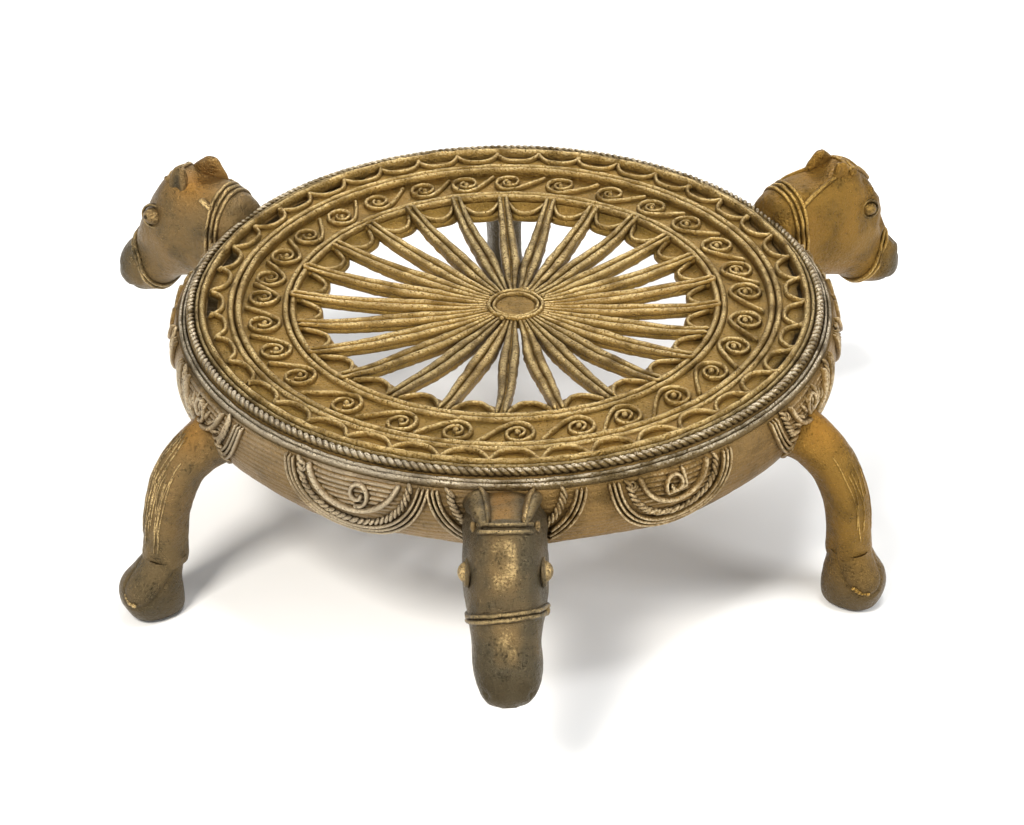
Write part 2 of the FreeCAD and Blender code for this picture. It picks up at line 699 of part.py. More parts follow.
curl_centre = size["bead_seat"] - size["curl_drop"]
curl_out = size["curl_radius"]
CURL_STEP_SHARE = 0.72
outside = [curl_out, curl_out * CURL_STEP_SHARE, curl_out * CURL_STEP_SHARE ** 2]
outer_edges, outer_end = curl_arcs((0, -curl_out), outside, curl_centre, curl_point)
inside = [radius - size["curl_wire_width"] / 2 for radius in outside]
inner_edges, inner_end = curl_arcs((0, -inside[0]), inside, curl_centre, curl_point)
curl_ends = [(outer_edges[0].Vertexes, inner_edges[0].Vertexes, 0),
             (outer_edges[-1].Vertexes, inner_edges[-1].Vertexes, -1)]
curl_links = [Part.LineSegment(out[end].Point, inn[end].Point).toShape()
              for out, inn, end in curl_ends]
curl_face = Part.Face(Part.Wire(Part.__sortEdges__(outer_edges + inner_edges + curl_links)))
curl = curl_face.extrude(relief_reach).common(relief_zone)


def clear_of_root(shapes, half_width):
    """Shapes at the front, less what a neck or a leg of this width covers."""
    box = Part.makeBox(2 * half_width, 2 * size["cut_margin"], size["stand_height"],
                       Vector(-half_width, -relief_back - 2 * size["cut_margin"], 0))
    return [solid for shape in shapes for solid in shape.cut(box).Solids]


# Legs and heads: lofts through rounded sections, cut to seat on the wall and the rings.
HEAD_AZIMUTHS = {"front": 0.0, "right": size["right_head_azimuth"],
                 "left": size["left_head_azimuth"]}
LEG_AZIMUTHS = {"right": 60.0, "left": -60.0, "back": 180.0}
SECTION_POINTS = 20
SECTION_POWER = 2.4


def section(centre, first, second):
    """A closed rounded section about a centre, with its two half axes as vectors."""
    points = []
    for index in range(SECTION_POINTS):
        turn = 2 * math.pi * index / SECTION_POINTS
        across = math.cos(turn)
        along = math.sin(turn)
        fill = (abs(across) ** SECTION_POWER + abs(along) ** SECTION_POWER) ** (-1 / SECTION_POWER)
        points.append(centre + first * (across * fill) + second * (along * fill))
    curve = Part.BSplineCurve()
    curve.interpolate(points, PeriodicFlag=True)
    return Part.Wire([curve.toShape()])


def loft(sections):
    return Part.makeLoft(sections, True, False)


wall_fill = revolved([
    Part.LineSegment(Vector(0, size["wall_foot"], 0), skin[0]).toShape(),
    Part.Arc(*skin).toShape(),
    Part.LineSegment(skin[2], Vector(size["rope_out"], size["bead_seat"], 0)).toShape(),
    Part.LineSegment(Vector(size["rope_out"], size["bead_seat"], 0),
                     Vector(size["rope_out"], size["rim_seat"], 0)).toShape(),
    Part.LineSegment(Vector(size["rope_out"], size["rim_seat"], 0),
                     Vector(0, size["rim_seat"], 0)).toShape(),
    Part.LineSegment(Vector(0, size["rim_seat"], 0), Vector(0, size["wall_foot"], 0)).toShape()])
rings = [piece.Shape for piece in pieces if piece.Label in ("bead_ring", "rope_ring", "rim_thread")]

# Legs: each rises from under the bead, bends over a knee and runs down to the ankle.
# Shares of the leg's reach beyond the wall's foot, and of the height from ankle to root.
LEG_SPINE_SHARES = [(-0.30, 1.00), (0.03, 0.97), (0.30, 0.89), (0.53, 0.76), (0.69, 0.58),
                    (0.79, 0.37), (0.83, 0.17), (0.85, 0.0)]
LEG_DEPTH_SHARES = [1.30, 1.27, 1.18, 1.11, 1.06, 1.02, 1.0, 1.02]
LEG_WIDTH_SHARES = [1.45, 1.30, 1.15, 1.07, 1.02, 0.98, 0.98, 1.02]


def leg_spine():
    height = size["leg_root_height"] - size["foot_height"]
    reach = size["leg_reach"]
    return [front_point(size["wall_foot_radius"] + across * reach, 0,
                        size["foot_height"] + up * height) for across, up in LEG_SPINE_SHARES]


spine = leg_spine()
leg_sections = []
for index, point in enumerate(spine):
    before = spine[max(index - 1, 0)]
    after = spine[min(index + 1, len(spine) - 1)]
    along = (after - before).normalize()
    if index == len(spine) - 1:
        along = Vector(0, 0, -1)
    side = Vector(1, 0, 0)
    depth = along.cross(side) * (size["leg_half_width"] * LEG_DEPTH_SHARES[index])
    leg_sections.append(section(point, side * (size["leg_half_width"] * LEG_WIDTH_SHARES[index]), depth))
leg = loft(leg_sections)
leg = biggest(leg.cut([wall_fill] + rings))

# Feet: a rounded pad that swells outwards below the ankle, with a flat sole on the floor.
# Shares of the foot's height, of its overhang, and of its half length and half width.
FOOT_SHARES = [(0.0, 0.74, 0.66, 0.66), (0.10, 0.84, 0.88, 0.86), (0.34, 1.0, 1.0, 1.0),
               (0.58, 0.92, 0.95, 0.96), (0.80, 0.45, 0.78, 0.82)]
ankle = spine[-1]
ankle_width = size["leg_half_width"] * LEG_WIDTH_SHARES[-1]
ankle_depth = size["leg_half_width"] * LEG_DEPTH_SHARES[-1]


def foot(overhang):
    sections = []
    for up, out, length, width in FOOT_SHARES:
        centre = ankle + Vector(0, -out * overhang, (up - 1) * size["foot_height"])
        sections.append(section(centre, Vector(size["foot_half_width"] * width, 0, 0),
                                Vector(0, -size["foot_half_length"] * length, 0)))
    sections.append(section(ankle, Vector(ankle_width, 0, 0), Vector(0, -ankle_depth, 0)))
    return loft(sections)


for name, azimuth in LEG_AZIMUTHS.items():
    overhang = size["right_foot_overhang"] if name == "right" else size["foot_overhang"]
    shape_piece(name + "_leg", leg, azimuth)
    shape_piece(name + "_foot", foot(overhang), azimuth)

# The medallions between the limbs show whole. Over a leg the curl and the arc round it end
# on the leg, and the outer threads show their sides only, as they do behind a neck.
open_azimuths = [size["left_medallion_azimuth"], size["right_medallion_azimuth"],
                 -90.0, 90.0, -150.0, 150.0]
for label, shape in (("medallion_curls", curl), ("medallion_plain_arcs", plain_arc)):
    over_leg = shape.cut(leg).Solids
    solids = around([shape], open_azimuths) + around(over_leg, LEG_AZIMUTHS.values())
    shape_piece(label, Part.makeCompound(solids))
NECK_SHARE = 0.92
neck_half = size["head_half_width"] * NECK_SHARE
root_azimuths = list(HEAD_AZIMUTHS.values()) + list(LEG_AZIMUTHS.values())
for label, shapes in (("medallion_rope_arcs", [rope_arc]), ("medallion_edge_threads", edge_arcs)):
    solids = around(shapes, open_azimuths) + around(clear_of_root(shapes, neck_half), root_azimuths)
    shape_piece(label, Part.makeCompound(solids))

# Heads: shares of the reach beyond the rope and of the height from chin to brow, for the
# line of the mane and nose and for the line of the throat and chin, with the width there.
HEAD_TOP_SHARES = [(0.0, 0.86), (0.10, 0.93), (0.27, 0.985), (0.46, 0.985), (0.63, 0.817),
                   (0.782, 0.615), (0.865, 0.43), (0.95, 0.30), (0.99, 0.18), (0.985, 0.10)]
HEAD_UNDER_SHARES = [(0.02, 0.33), (0.12, 0.30), (0.30, 0.26), (0.50, 0.21), (0.60, 0.135),
                     (0.67, 0.055), (0.75, 0.01), (0.81, 0.0), (0.88, 0.012), (0.935, 0.045)]
HEAD_WIDTH_SHARES = [0.88, 0.90, 0.94, 1.0, 0.95, 0.89, 0.82, 0.80, 0.66, 0.32]
HEAD_SECTIONS = len(HEAD_TOP_SHARES)


class HeadShape:
    """The lines of one head at the front, for the low front head or the two high ones."""

    def __init__(self, kind):
        self.chin = size[kind + "_head_chin"]
        self.depth = size[kind + "_head_top"] - self.chin
        self.reach = size[kind + "_head_reach"]
        self.top = [self.place(share) for share in HEAD_TOP_SHARES]
        self.under = [self.place(share) for share in HEAD_UNDER_SHARES]

    def place(self, share):
        across, up = share
        return front_point(size["rope_out"] + across * self.reach, 0, self.chin + up * self.depth)

    @staticmethod
    def between(line, position):
        """The value a part of the way from one section to the next."""
        index = min(int(position), HEAD_SECTIONS - 2)
        part = position - index
        return line[index] * (1 - part) + line[index + 1] * part

    def frame(self, over, under):
        """Middle, half depth, half width and forward direction of a slanting section."""
        top = self.between(self.top, over)
        half = (top - self.between(self.under, under)) * 0.5
        forward = Vector(1, 0, 0).cross(half).normalize()
        width = size["head_half_width"] * self.between(HEAD_WIDTH_SHARES, over)
        return top - half, half, width, forward

    def loft(self, proud):
        sections = []
        for index in range(HEAD_SECTIONS):
            middle, half, width, _ = self.frame(index, index)
            half = half + Vector(half).normalize() * proud
            sections.append(section(middle, Vector(width + proud, 0, 0), half))
        return loft(sections)


def slab(frame, offset, thickness):
    """A thin block square to the head at a frame, moved forward by an offset."""
    middle, half, width, forward = frame
    reach = half.Length + size["cut_margin"]
    box = Part.makeBox(2 * reach, 2 * reach, thickness, Vector(-reach, -reach, offset - thickness / 2))
    lay = Placement(middle, Rotation(Vector(1, 0, 0), Vector(half), forward, "XYZ"))
    return box.transformed(lay.toMatrix())


def head_band(solid, fat, frame, count):
    """Threads wound round the head side by side at one place."""
    pitch = size["band_wire"] + size["band_gap"]
    threads = []
    for index in range(count):
        offset = (index - (count - 1) / 2) * pitch
        threads.append(biggest(fat.common(slab(frame, offset, size["band_wire"])).cut(solid)))
    return Part.makeCompound(threads)


BROW_REACH_SHARE = 0.75


def brow_band(solid, fat, frame):
    """Two threads that lie over the brow only, from ear to ear."""
    middle, half, width, forward = frame
    reach = width * BROW_REACH_SHARE
    patch = Part.makeBox(2 * reach, half.Length + size["cut_margin"], 2 * size["cut_margin"],
                         Vector(-reach, 0, -size["cut_margin"]))
    lay = Placement(middle, Rotation(Vector(1, 0, 0), Vector(half), forward, "XYZ"))
    patch = fat.common(patch.transformed(lay.toMatrix()))
    return head_band(solid, patch, frame, 2)


EYE_REACH_SHARE = 0.93
# How far each pair of ears leans back, as a share of their length.
EAR_LEAN_SHARES = {"front": 0.14, "right": -0.38, "left": -0.05}
# Length and thickness of an ear at its root, its middle and its tip, and how high these are.
EAR_LEVEL_SHARES = [(0.0, 1.0, 1.0), (0.6, 0.72, 0.8), (1.0, 0.16, 0.4)]
# Places along the head, counted in sections: over and under it, with the eyes' height share.
HEAD_PLACES = {"front": {"eyes": (3.1, 0.36), "ears": 1.35, "browband": (2.8, 3.2),
                         "noseband": (4.7, 3.6)},
               "back": {"eyes": (3.6, 0.50), "ears": 2.1, "browband": (3.0, 3.4),
                        "noseband": (5.9, 4.6), "collar": (1.05, 1.2)}}


def eyes(head, solid, place):
    """A domed oval on each cheek, its long axis along the nose."""
    position, height_share = place
    middle, half, width, forward = head.frame(position, position)
    domes = []
    for side in (-1, 1):
        centre = middle + half * height_share + Vector(side * width * EYE_REACH_SHARE, 0, 0)
        matrix = Placement(centre, Rotation(Vector(1, 0, 0), Vector(half), forward, "XYZ")).toMatrix()
        scale = FreeCAD.Matrix()
        scale.scale(Vector(size["eye_rise"] * 2, size["eye_width"] / 2, size["eye_length"] / 2))
        ball = Part.makeSphere(1.0).transformGeometry(matrix.multiply(scale))
        domes.append(biggest(ball.cut(solid)))
    return Part.makeCompound(domes)


def ears(head, solid, kind, position, lean_share):
    """Two broad flaps along the top of the head, with a valley between them."""
    middle, half, width, forward = head.frame(position, position)
    crown = middle + half
    rise = size[kind + "_ear_rise"] + size["ear_root_depth"]
    flaps = []
    for side in (-1, 1):
        sections = []
        splay = Rotation(Vector(0, 0, 1), -side * size[kind + "_ear_splay"])
        for up, length, thickness in EAR_LEVEL_SHARES:
            centre = crown + Vector(side * size[kind + "_ear_spread"],
                                    up * lean_share * size["ear_length"],
                                    up * rise - size["ear_root_depth"])
            across = splay.multVec(Vector(size["ear_thickness"] / 2 * thickness, 0, 0))
            along = splay.multVec(Vector(0, -size["ear_length"] / 2 * length, 0))
            sections.append(section(centre, across, along))
        flaps.append(biggest(loft(sections).cut([solid, wall_fill] + rings)))
    return Part.makeCompound(flaps)


def head_pieces(kind, lean_shares):
    """A head and everything on it, with a pair of ears for each way that they lean."""
    head = HeadShape(kind)
    blank = head.loft(0.0)
    fat = head.loft(size["band_rise"])
    places = HEAD_PLACES[kind]
    made = {"head": biggest(blank.cut([wall_fill] + rings)),
            "ears": [ears(head, blank, kind, places["ears"], share) for share in lean_shares],
            "eyes": eyes(head, blank, places["eyes"]),
            "browband": brow_band(blank, fat, head.frame(*places["browband"])),
            "noseband": head_band(blank, fat, head.frame(*places["noseband"]), 2)}
    if "collar" in places:
        made["collar"] = head_band(blank, fat, head.frame(*places["collar"]), 3)
    return made


for kind, names in (("front", ["front"]), ("back", ["right", "left"])):
    parts = head_pieces(kind, [EAR_LEAN_SHARES[name] for name in names])
    for index, name in enumerate(names):
        for part, shape in parts.items():
            if part == "ears":
                shape = shape[index]
            shape_piece("%s_%s" % (name, part), shape, HEAD_AZIMUTHS[name])


doc.recompute()
faults = [item.Name for item in doc.Objects if "Invalid" in item.State or "Error" in item.State]
faults += [piece.Label for piece in pieces if piece.Shape.isNull() or not piece.Shape.isValid()]
if faults:
    raise RuntimeError("failed objects: " + ", ".join(faults))
for piece in pieces:
    piece.Shape.exportStep("parts/%s.step" % piece.Label)
print(len(pieces), "sub-parts written")
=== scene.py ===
"""An aged cast brass low table on three legs with horse heads at its rim, seen from the front."""
import math

import bpy
import numpy as np
from mathutils import Matrix, Vector, noise


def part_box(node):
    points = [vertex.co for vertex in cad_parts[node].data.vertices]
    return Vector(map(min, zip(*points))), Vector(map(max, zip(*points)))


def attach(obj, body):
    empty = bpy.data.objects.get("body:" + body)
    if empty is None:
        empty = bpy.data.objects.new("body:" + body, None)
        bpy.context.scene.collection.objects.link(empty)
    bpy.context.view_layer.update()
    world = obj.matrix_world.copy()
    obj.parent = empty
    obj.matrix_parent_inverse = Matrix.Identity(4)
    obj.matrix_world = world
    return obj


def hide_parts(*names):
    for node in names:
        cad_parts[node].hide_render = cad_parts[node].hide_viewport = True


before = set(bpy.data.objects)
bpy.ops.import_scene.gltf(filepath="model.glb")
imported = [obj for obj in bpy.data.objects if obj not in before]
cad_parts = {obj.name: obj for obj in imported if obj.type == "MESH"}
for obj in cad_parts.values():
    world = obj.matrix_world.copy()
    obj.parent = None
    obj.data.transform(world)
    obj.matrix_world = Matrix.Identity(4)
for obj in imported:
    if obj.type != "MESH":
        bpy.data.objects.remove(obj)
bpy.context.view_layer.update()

# Rings of thread: two pairs beside the scroll band and the rim, which is two threads side by side.
# Each is a wax thread cast in brass, laid round by hand, so it wanders in and out, up and down.
# Sizes are in metres, and azimuths in degrees from the front head towards +X.
MM = 0.001
UP = np.array([0.0, 0.0, 1.0])


def reach(node):
    """Outer radius of a round piece."""
    low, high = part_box(node)
    return (high.x - low.x) / 2


def seat(node):
    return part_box(node)[0].z


def crest(node):
    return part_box(node)[1].z


def polar(radius, azimuth, height):
    """Points at these radii, azimuths and heights, as rows of an array."""
    turn = np.radians(azimuth)
    radius, turn, height = np.broadcast_arrays(radius, turn, height)
    return np.stack([radius * np.sin(turn), -radius * np.cos(turn), height], -1)


def unit(vectors):
    return vectors / np.maximum(np.linalg.norm(vectors, axis=-1, keepdims=True), 1e-12)


def waver(turns, seed, rough=5):
    """A smooth hand-made irregularity between about -1 and 1, periodic in whole turns."""
    total = np.zeros_like(np.asarray(turns, float))
    for index in range(1, rough + 1):
        phase = math.sin(seed * 12.9898 + index * 78.233) * 43758.5453
        wave = 2 * index + int(abs(math.sin(seed + index)) * 3)
        total += np.sin(2 * math.pi * (wave * np.asarray(turns) + phase)) / (1 + 0.4 * index)
    return total / 2.2


def grain(points, size, seed=0.0):
    """Noise at each point, with features of about this size."""
    shift = Vector((seed, seed * 0.37, -seed * 0.71))
    return np.array([noise.noise(Vector(point) / size + shift) for point in points])


class Batch:
    """Faces gathered from several threads and blanks that make up one piece."""

    def __init__(self):
        self.points = []
        self.faces = []
        self.crests = []
        self.patinas_and_shades = []
        self.count = 0

    def add(self, points, faces, crests, patina_and_shade=0.0):
        points = np.asarray(points, float).reshape(-1, 3)
        self.points.append(points)
        self.faces += [tuple(int(corner) + self.count for corner in face) for face in faces]
        for values, kept in ((crests, self.crests), (patina_and_shade, self.patinas_and_shades)):
            kept.append(np.broadcast_to(np.asarray(values, float).ravel(), (len(points),)))
        self.count += len(points)

    def piece(self, name, nodes, slot, material):
        """Makes the object, which stands for these CAD nodes."""
        mesh = bpy.data.meshes.new(name)
        mesh.from_pydata(np.vstack(self.points).tolist(), [], self.faces)
        for label, values in (("crest", self.crests), ("patina_and_shade", self.patinas_and_shades)):
            layer = mesh.attributes.new(label, "FLOAT", "POINT")
            layer.data.foreach_set("value", np.concatenate(values).astype(np.float32))
        mesh.shade_smooth()
        mesh.materials.append(material)
        made = bpy.data.objects.new(name, mesh)
        bpy.context.scene.collection.objects.link(made)
        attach(made, "root")
        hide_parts(*nodes)


def grid_faces(rows, columns, closed_rows=False):
    """Quads between the neighbours of a grid of points whose columns go round."""
    faces = []
    for row in range(rows if closed_rows else rows - 1):
        after = (row + 1) % rows
        for column in range(columns):
            beside = (column + 1) % columns
            faces.append((row * columns + column, row * columns + beside,
                          after * columns + beside, after * columns + column))
    return faces


# Share of a thread's rise that reaches below its path.
THREAD_SINK = 0.25


def sweep(batch, path, up, half, rise, closed=False, sides=12, blunt=True, patina_and_shade=0.0):
    """A wax thread along a path: a rounded crest over a base sunk a little into its floor."""
    count = len(path)
    up = np.broadcast_to(np.asarray(up, float), path.shape)
    half = np.broadcast_to(np.asarray(half, float), (count,)).copy()
    rise = np.broadcast_to(np.asarray(rise, float), (count,)).copy()
    if closed:
        along = np.roll(path, -1, 0) - np.roll(path, 1, 0)
    else:
        along = np.gradient(path, axis=0)
        if blunt:
            steps = np.concatenate([[0], np.cumsum(np.linalg.norm(np.diff(path, axis=0), axis=1))])
            room = np.minimum(steps, steps[-1] - steps)
            share = np.clip(room / np.maximum(half, 1e-9), 0, 1)
            taper = np.maximum(np.sqrt(1 - (1 - share) ** 2), 0.12)
            half *= taper
            rise *= taper
    side = unit(np.cross(unit(along), up))
    turn = np.linspace(0, 2 * math.pi, sides, endpoint=False)
    across = np.cos(turn)
    lift = np.maximum(np.sin(turn), -THREAD_SINK)
    rings = (path[:, None] + side[:, None] * (half[:, None] * across)[..., None]
             + up[:, None] * (rise[:, None] * lift)[..., None])
    faces = grid_faces(count, sides, closed_rows=closed)
    if not closed:
        faces.append(tuple(range(sides))[::-1])
        faces.append(tuple((count - 1) * sides + corner for corner in range(sides)))
    batch.add(rings, faces, np.tile(np.clip(lift, 0, 1), count), patina_and_shade)


def linear(code):
    """A colour written as sRGB hex, in the linear values that shaders use."""
    channels = [int(code[index:index + 2], 16) / 255 for index in (1, 3, 5)]
    return [c / 12.92 if c <= 0.04045 else ((c + 0.055) / 1.055) ** 2.4 for c in channels] + [1.0]


def add_node(tree, kind, inputs=(), output=0, **settings):
    """Adds a node with its settings, sets or links its inputs, and gives one of its outputs."""
    made = tree.nodes.new("ShaderNode" + kind)
    for name, value in settings.items():
        setattr(made, name, value)
    for key, value in inputs.items() if isinstance(inputs, dict) else enumerate(inputs):
        if isinstance(value, bpy.types.NodeSocket):
            tree.links.new(value, made.inputs[key])
        else:
            made.inputs[key].default_value = value
    return made.outputs[output]


# Lost-wax cast brass, aged: a dull olive-brown skin that turns gold where it stands proud and has
# been rubbed, with painted shade in the recesses that stands also for dark patina there, warm stains, grey
# worn patches that are partly painted sheen, and fine casting pits.
# Its patterns, as millimetres across, detail and roughness: broad stains, small stains, the
# unevenness of hand-laid wax, specks, and the grit of the clay mould, drawn coarse enough to show.
BRASS_PATTERNS = ((34, 4.0, 0.55), (8, 5.0, 0.6), (1.5, 5.0, 0.65), (0.45, 3.0, 0.6), (0.8, 4.0, 0.7))
PIT_SPACING = 1.2 * MM
RECESS_WIDTH = 4.0 * MM
BRASS_METALLIC = 0.92
BRASS_ROUGHNESS = 0.40
# The side that the grey patches face, towards the key light, and their colour: wear and painted sheen.
SHEEN_AND_WEAR_SIDE = tuple(polar(1.0, -42.0, 0.0))
WORN_GREY_AND_SHEEN = "#B5A993"
# Colour of the painted shade in the recesses, which stands also for dark patina there.
RECESS_SHADE_AND_PATINA = "#33270F"
FRESH = "#A8772F"
# Colour of tarnish, which is also the painted shade on the back leg, the eye lids and the duller spokes.
TARNISH_AND_SHADE = "#484234"


def cast_brass(name, skin, gold, dark, warm, pits=0.5, wear=0.6, grey_wear_and_sheen=0.0, depth=0.8):
    """Aged cast brass. Its last four arguments are the strength of the casting pits, of the rubbed
    crests, of the grey patches at the front left, which are wear and painted sheen, and of the painted
    shade in the recesses, which stands also for dark patina there."""
    material = bpy.data.materials.new(name)
    material.use_nodes = True
    tree = material.node_tree
    shader = tree.nodes["Principled BSDF"].inputs
    place = add_node(tree, "TexCoord", output="Object")
    broad, patch, fine, speck, grit = (
        add_node(tree, "TexNoise", {"Vector": place, "Scale": 1 / (size * MM), "Detail": detail,
                                    "Roughness": roughness})
        for size, detail, roughness in BRASS_PATTERNS)
    height, patina_and_shade = (add_node(tree, "Attribute", output="Fac", attribute_name=label)
                      for label in ("crest", "patina_and_shade"))
    ambient_occlusion_shade = add_node(tree, "AmbientOcclusion", {"Distance": RECESS_WIDTH}, "AO", samples=6)
    rubbed = add_node(tree, "Math", (grit, 1.6, height), operation="MULTIPLY_ADD")
    rubbed = add_node(tree, "MapRange", (rubbed, 1.45, 1.95, 0.0, wear))
    for limit in ((patch, 0.66, 0.42), (patina_and_shade, 0.2, 1.0, 1.0, 0.35)):
        share = add_node(tree, "MapRange", limit)
        rubbed = add_node(tree, "Math", (rubbed, share), operation="MULTIPLY")
    # The layers of colour over the skin, from the lowest to the highest.
    layers = [(add_node(tree, "MapRange", (broad, 0.38, 0.62)), warm),
              (add_node(tree, "MapRange", (patch, 0.46, 0.70, 0.0, 0.6)), dark),
              (add_node(tree, "MapRange", (patina_and_shade, 0.0, 1.0, 0.0, 0.85)), TARNISH_AND_SHADE),
              (add_node(tree, "MapRange", (patina_and_shade, 0.0, -1.0, 0.0, 0.8)), FRESH), (rubbed, gold)]
    # Grey on the proud parts that face the front left, towards the key light: wear and painted sheen.
    if grey_wear_and_sheen:
        facing = add_node(tree, "VectorMath", (place, SHEEN_AND_WEAR_SIDE), "Value", operation="DOT_PRODUCT")
        worn_and_sheen = add_node(tree, "MapRange", (facing, 72 * MM, 100 * MM))
        worn_and_sheen = add_node(tree, "Math", (broad, 2.2, worn_and_sheen), operation="MULTIPLY_ADD")
        worn_and_sheen = add_node(tree, "MapRange", (worn_and_sheen, 1.45, 2.05, 0.0, grey_wear_and_sheen))
        proud = add_node(tree, "MapRange", (height, 0.1, 0.8))
        layers.append((add_node(tree, "Math", (worn_and_sheen, proud), operation="MULTIPLY"), WORN_GREY_AND_SHEEN))
    # Painted shade: the skin darkens where ambient occlusion finds a recess, and this stands also for dark
    # patina in the hollows.
    recess_shade_and_patina = add_node(tree, "Math", (add_node(tree, "MapRange", (ambient_occlusion_shade, 0.15, 0.75, depth, 0.0)),
                                   add_node(tree, "MapRange", (fine, 0.25, 0.6, 0.6, 1.0))),
                    operation="MULTIPLY")
    # Patina above 1.1 turns near black: painted shade in the pockets of the wave floor and in the cup of
    # the left head's near ear, and the pupils of its eyes.
    deep_shade = add_node(tree, "MapRange", (patina_and_shade, 1.1, 2.0, 0.0, 0.97))
    recess_shade_and_patina = add_node(tree, "Math", (recess_shade_and_patina, deep_shade), operation="MAXIMUM")
    pit = add_node(tree, "TexVoronoi", {"Vector": place, "Scale": 1 / PIT_SPACING}, "Distance",
                   feature="F1")
    pit = add_node(tree, "Math", (add_node(tree, "MapRange", (pit, 0.08, 0.38, 1.0, 0.0)),
                                  add_node(tree, "MapRange", (patch, 0.40, 0.60))), operation="MULTIPLY")
    layers += [(recess_shade_and_patina, RECESS_SHADE_AND_PATINA), (add_node(tree, "Math", (pit, 0.6 * pits), operation="MULTIPLY"), dark)]
    colour = linear(skin)
    for share, code in layers:
        colour = add_node(tree, "Mix", {0: share, 6: colour, 7: linear(code)}, 2, data_type="RGBA")
    dull = add_node(tree, "MapRange", (grit, 0.38, 0.62, BRASS_ROUGHNESS - 0.14, BRASS_ROUGHNESS + 0.14))
    for layer, weight in ((rubbed, -0.22), (recess_shade_and_patina, 0.2)):
        dull = add_node(tree, "Math", (layer, weight, dull), operation="MULTIPLY_ADD")
    relief = 0.0
    for layer, weight in ((fine, 1.3), (grit, 1.1), (speck, 0.4), (pit, -pits), (patch, 0.9)):
        relief = add_node(tree, "Math", (layer, weight, relief), operation="MULTIPLY_ADD")
    bump = add_node(tree, "Bump", {"Strength": 0.85, "Distance": 0.50 * MM, "Height": relief})
    tree.links.new(colour, shader["Base Color"])
    tree.links.new(dull, shader["Roughness"])
    tree.links.new(bump, shader["Normal"])
    shader["Metallic"].default_value = BRASS_METALLIC
    return material


# The threads stand proud, so their crests are rubbed to a bright pale gold.
thread_brass = cast_brass("cast_brass_threads", "#866B3A", "#F0D69A", "#58441F", "#8F713A", wear=0.65,
                          depth=0.7)
RING_STATIONS = 600
turns = np.arange(RING_STATIONS) / RING_STATIONS


def ring_thread(name, inner, width, seed, sway=0.16, sides=14, share=1.0, patina_and_shade=0.0, batch=None):
    low = seat(name)
    rise = (crest(name) - low) * share
    radius = inner + width / 2 + sway * MM * waver(turns, seed)
    height = low + 0.10 * MM * waver(turns, seed + 3)
    half = width / 2 * (1 + 0.07 * waver(turns, seed + 7, 9))
    batch = batch or Batch()
    path = polar(radius, 360 * turns, height)
    uneven = grain(path, 4 * MM, seed)
    sweep(batch, path, UP, half * (1 + 0.10 * uneven),
          rise * (0.93 + 0.05 * waver(turns, seed + 5, 9) + 0.12 * uneven), closed=True, sides=sides,
          patina_and_shade=patina_and_shade)
    return batch


RING_PAIRS = (("inner_ring_thread", "inner_ring_outer_thread"),
              ("outer_ring_thread", "outer_ring_outer_thread"))
pair_starts = [2 * reach(inside) - reach(outside) for inside, outside in RING_PAIRS]
for number, (pair, inner) in enumerate(zip(RING_PAIRS, pair_starts)):
    for step, node in enumerate(pair):
        laid = ring_thread(node, inner, reach(node) - inner, 1 + 2 * number + step)
        laid.piece(node + "_laid", [node], "top", thread_brass)
        inner = reach(node)
web_edge, band_out = pair_starts

rim_out = reach("rim_thread")
RIM_WIDTH = 4.0 * MM
rim_in = rim_out - RIM_WIDTH
rim_thread = ring_thread("rim_thread", rim_in, 0.62 * RIM_WIDTH, 5, sway=0.3, sides=16)
ring_thread("rim_thread", rim_in + 0.55 * RIM_WIDTH, 0.45 * RIM_WIDTH, 15, sway=0.2, share=0.74,
            patina_and_shade=0.55, batch=rim_thread)
rim_thread.piece("rim_thread_laid", ["rim_thread"], "top", thread_brass)

# Rope and bead: a thread twisted from two strands lies round the rim, and under it lies the bead,
# two smooth threads side by side. Both are worn pale, and grey at the front left, where the grey is wear
# and painted sheen on the side that faces the key light.
ROPE_RADIUS = 1.25 * MM
# Length of one whole twist, negative as it turns to the left.
ROPE_LAY = -4.8 * MM
STRAND_RADIUS = 0.62 * ROPE_RADIUS
STRAND_SIDES = 10


def resample(points, spacing, closed=False):
    """The same line with evenly spaced points."""
    points = np.asarray(points, float)
    if closed:
        points = np.vstack([points, points[:1]])
    steps = np.linalg.norm(np.diff(points, axis=0), axis=1)
    along = np.concatenate([[0], np.cumsum(steps)])
    count = max(int(round(along[-1] / spacing)), 4)
    marks = np.linspace(0, along[-1], count + 1)
    if closed:
        marks = marks[:-1]
    return np.stack([np.interp(marks, along, points[:, axis]) for axis in range(3)], 1)


def rope(batch, path):
    """Two strands twisted round each other along a closed path."""
    side = unit(np.cross(unit(np.roll(path, -1, 0) - np.roll(path, 1, 0)), UP))
    steps = np.linalg.norm(np.diff(np.vstack([path, path[:1]]), axis=0), axis=1)
    length = np.concatenate([[0], np.cumsum(steps)])
    twists = round(length[-1] / ROPE_LAY) / length[-1]
    turn = np.linspace(0, 2 * math.pi, STRAND_SIDES, endpoint=False)[None, :, None]
    for strand in (0.0, 0.5):
        angle = 2 * math.pi * (length[:-1] * twists + strand)[:, None]
        middle = path + (side * np.cos(angle) + UP * np.sin(angle)) * ROPE_RADIUS * 0.5
        heading = unit(np.roll(middle, -1, 0) - np.roll(middle, 1, 0))
        right = unit(np.cross(heading, UP))
        over = unit(np.cross(right, heading))
        rings = middle[:, None] + STRAND_RADIUS * (right[:, None] * np.cos(turn)
                                                   + over[:, None] * np.sin(turn))
        height = (rings - path[:, None])[..., 2] / ROPE_RADIUS
        batch.add(rings, grid_faces(len(path), STRAND_SIDES, closed_rows=True), np.clip(height, 0, 1))


